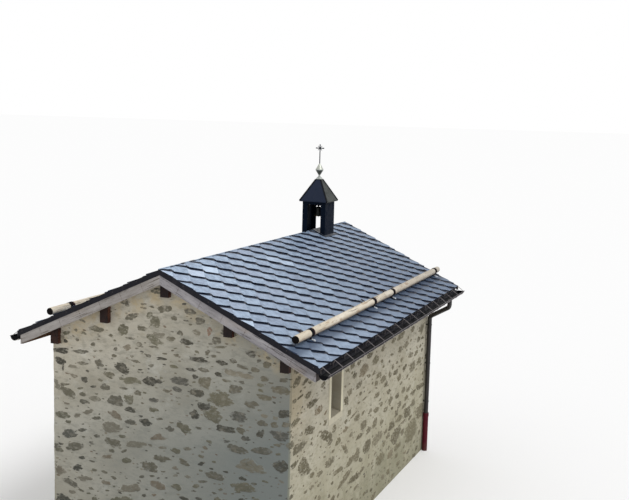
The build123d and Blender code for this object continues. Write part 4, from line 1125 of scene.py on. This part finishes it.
peeled, shader, place = new_finish("peeled_spruce", 0.62)
_, y, z = apart(place)
along = log_place(place)
grain = placed(grain_group, Place=along, Ring=90.0)
patch = noise(along, 7.0, (1.6, 0.35, 1.6), 5, 0.64, (3, 2, 1))
check = ease(noise(along, 8.0, (5.0, 0.10, 5.0), 4, 0.6, (0.7, 5, 0.2)), 0.375, 0.355)
knots = give("ShaderNodeTexVoronoi", "Distance", {"Vector": stretched(along, (5.0, 2.2, 5.0)), "Scale": 1.0,
                                                  "Randomness": 1.0})
# painted shade: the underside of each log is painted browner and darker
paint(shader, coats(
    ramp(grain["Cloud"], (0.3, (184, 171, 150)), (0.5, (206, 195, 175)), (0.72, (222, 213, 197))),
    ((158, 130, 98), patch, 0.56, 0.66, 0.7), ((176, 168, 154), patch, 0.41, 0.33, 0.5),
    ((146, 118, 86), grain["Fibre"], 0.45, 0.28, 0.45), ((62, 44, 32), check * 0.85),
    ((104, 72, 48), knots, 0.15, 0.07, 0.8), ((128, 100, 76), z, log_at[1] + 0.01, log_at[1] - 0.05, 0.6),
    ((112, 112, 114), y, -2.0, 3.6, 0.38)))
bump(shader, grain["Fibre"] - check, 0.002, 0.8)

# the sawn ends are painted near black: their weathered end grain and painted shade
log_end, shader, place = new_finish("sawn_end", 0.85, 0.1)
grain = placed(grain_group, Place=log_place(place), Ring=170.0)
saw = noise(place, 60.0, (1, 1, 6), 3, 0.6)
paint(shader, coats(ramp(grain["Ring"], (0.0, (20, 16, 15)), (1.0, (12, 10, 10))), ((40, 32, 28), saw, 0.5, 0.7, 0.3)))
bump(shader, saw, 0.002, 0.8)

for side, word, seed in ((1, "right", 41), (-1, "left", 42)):
    rng = np.random.default_rng(seed)
    points, faces, which = zip(*[log_shape(side, *run, rng) for run in log_runs])
    make_piece(f"peeled_logs_{word}", np.vstack(points), np.vstack([faces[0], faces[1] + len(points[0])]),
               [peeled, log_end], "peeled_log", nodes=[f"snow_logs_{word}"], angle=60, which=np.concatenate(which))


# Log straps: forged rings, painted black and rusty at their edges, over a lining of black rubber wider than the
# ring, with bare feet screwed through the slates, painted near white, the bare metal with a painted glint.
strap_iron, shader, place, colour = coated(
    "strap_iron", (38, 16, 19), (50, 22, 22), (70, 40, 36), 0.7, 5.0, 0.2, specular=0.15)
_, down, up = on_roof(place)
# the bare feet and bolts are painted near white: bare metal and a painted glint
bare_foot_glint = most(ease(down, 2.607, 2.612), ease(up, 0.024, 0.018) * ease(down, 2.552, 2.560))
paint(shader, mix(bare_foot_glint, colour, (214, 220, 226)))
dress(strap_iron, "snow_log_straps")
rubber = coated("rubber_lining", (6, 6, 9), (12, 11, 13), (34, 28, 28), 0.8, 8.0, 0.0, 0.2, 0.1)[0]
band = (0.0670, -0.100), (0.0698, -0.100), (0.0698, 0.034), (0.0670, 0.034), (0.0670, -0.100)
angle = np.linspace(0, 2 * math.pi, 32, endpoint=False)
for side, word in ((1, "right"), (-1, "left")):
    rings = [turned_shape((side * log_at[0], level, log_at[1]), band, angle) for level in strap_levels]
    make_piece(f"strap_linings_{word}", np.vstack(rings), copies(grid_faces(5, 32, closed=True), len(rings), 160),
               [rubber], "forged_steel", angle=40)


# Turret: boxed up of dark blue black coated sheet on a frame, folded over its posts, with a saddle on the ridge
# and a steep roof with rolls on its hips.
turret_sheet, shader, place, colour = coated(
    "turret_sheet", (8, 18, 33), (12, 22, 36), (20, 28, 40), 0.6, 2.5, 0.0, 0.2, 0.05)
seam = abs(math_node("PINGPONG", apart(place)[2], 0.35) - 0.17)
paint(shader, coats(colour, ((14, 15, 18), seam, 0.0030, 0.0010, 0.6)))
dress(turret_sheet, "turret_end_frames", "turret_side_walls")

turret_middle = 2.540
turret_hood, shader, place, colour = coated(
    "turret_hood", (26, 35, 54), (31, 40, 56), (54, 57, 64), 0.5, 2.5, 0.0, 0.2, 0.15)
x, y, _ = apart(place)
from_hip = abs(x) - abs(y - turret_middle)
# painted light: the hood's face towards the right is painted paler olive grey, as a painted reflection of the sky
lit_face_sheen = ease(from_hip, 0.012, 0.030) * ease(x, 0.02, 0.05)
paint(shader, coats(colour, ((64, 67, 62), lit_face_sheen * 0.85), ((9, 11, 17), abs(from_hip), 0.030, 0.020)))
dress(turret_hood, "turret_roof")

dress(coated("saddle_sheet", (34, 39, 50), (46, 50, 58), (80, 82, 84), 0.4, 3.0)[0], "turret_saddle")


# Finial and cross: a spun zinc double cone on a flashed base, its top painted pale as painted light and its underside
# painted dark as painted shade, and a wrought iron cross forged square and let into it.
finial_zinc, shader, place, colour = coated(
    "finial_zinc", (172, 176, 172), (146, 150, 146), (196, 196, 184), 0.36, 6.0, 0.45)
cone_edge, cone_foot, z = 6.424, 6.300, apart(place)[2]
# painted shade under the widest ring of the cones, and painted light on its top
underside_shade = ease(z, cone_edge, cone_edge - 0.014) * ease(z, cone_foot, cone_foot + 0.03)
crown = ease(z, cone_edge + 0.006, cone_edge + 0.021)
paint(shader, coats(colour, ((66, 70, 60), underside_shade * 0.85), ((198, 200, 180), crown * 0.35)))
dress(finial_zinc, "turret_finial")
dress(coated("cross_iron", (12, 22, 36), (16, 27, 42), (44, 40, 40), 0.6, 9.0, 0.2)[0], "turret_cross")


# Bell gear: a small bronze bell cast with rings round its waist and lip, brown green with age, painted very dark as
# painted shade inside the turret, and bright where the clapper strikes, on an oak yoke with an iron axle in greased
# blocks.
# the bronze is painted very dark: its patina and painted shade inside the turret
bell_bronze, shader, place, colour = coated(
    "bell_bronze", (27, 27, 24), (25, 29, 28), (38, 50, 46), 0.42, 9.0, 0.6, 0.5)
patina = ease(noise(place, 22.0, (1, 1, 0.7), 5, 0.65), 0.5, 0.66)
lip_height = 5.424
lip = ease(apart(place)[2], lip_height, lip_height - 0.013)
paint(shader, coats(colour, ((28, 40, 38), patina * 0.6), ((110, 92, 60), lip * 0.6)))
dress(bell_bronze, "bell")
dress(wood("yoke_oak", turned("ZXY", (0, -2.50, -5.60)), (40, 28, 20), (62, 44, 32), (86, 66, 48), ring=260)[0],
      "bell_yoke")
dress(coated("clapper_iron", (40, 38, 38), (58, 48, 42), (98, 72, 54), 0.5, 12.0, 0.5)[0],
      "clapper", "bell_bearings")
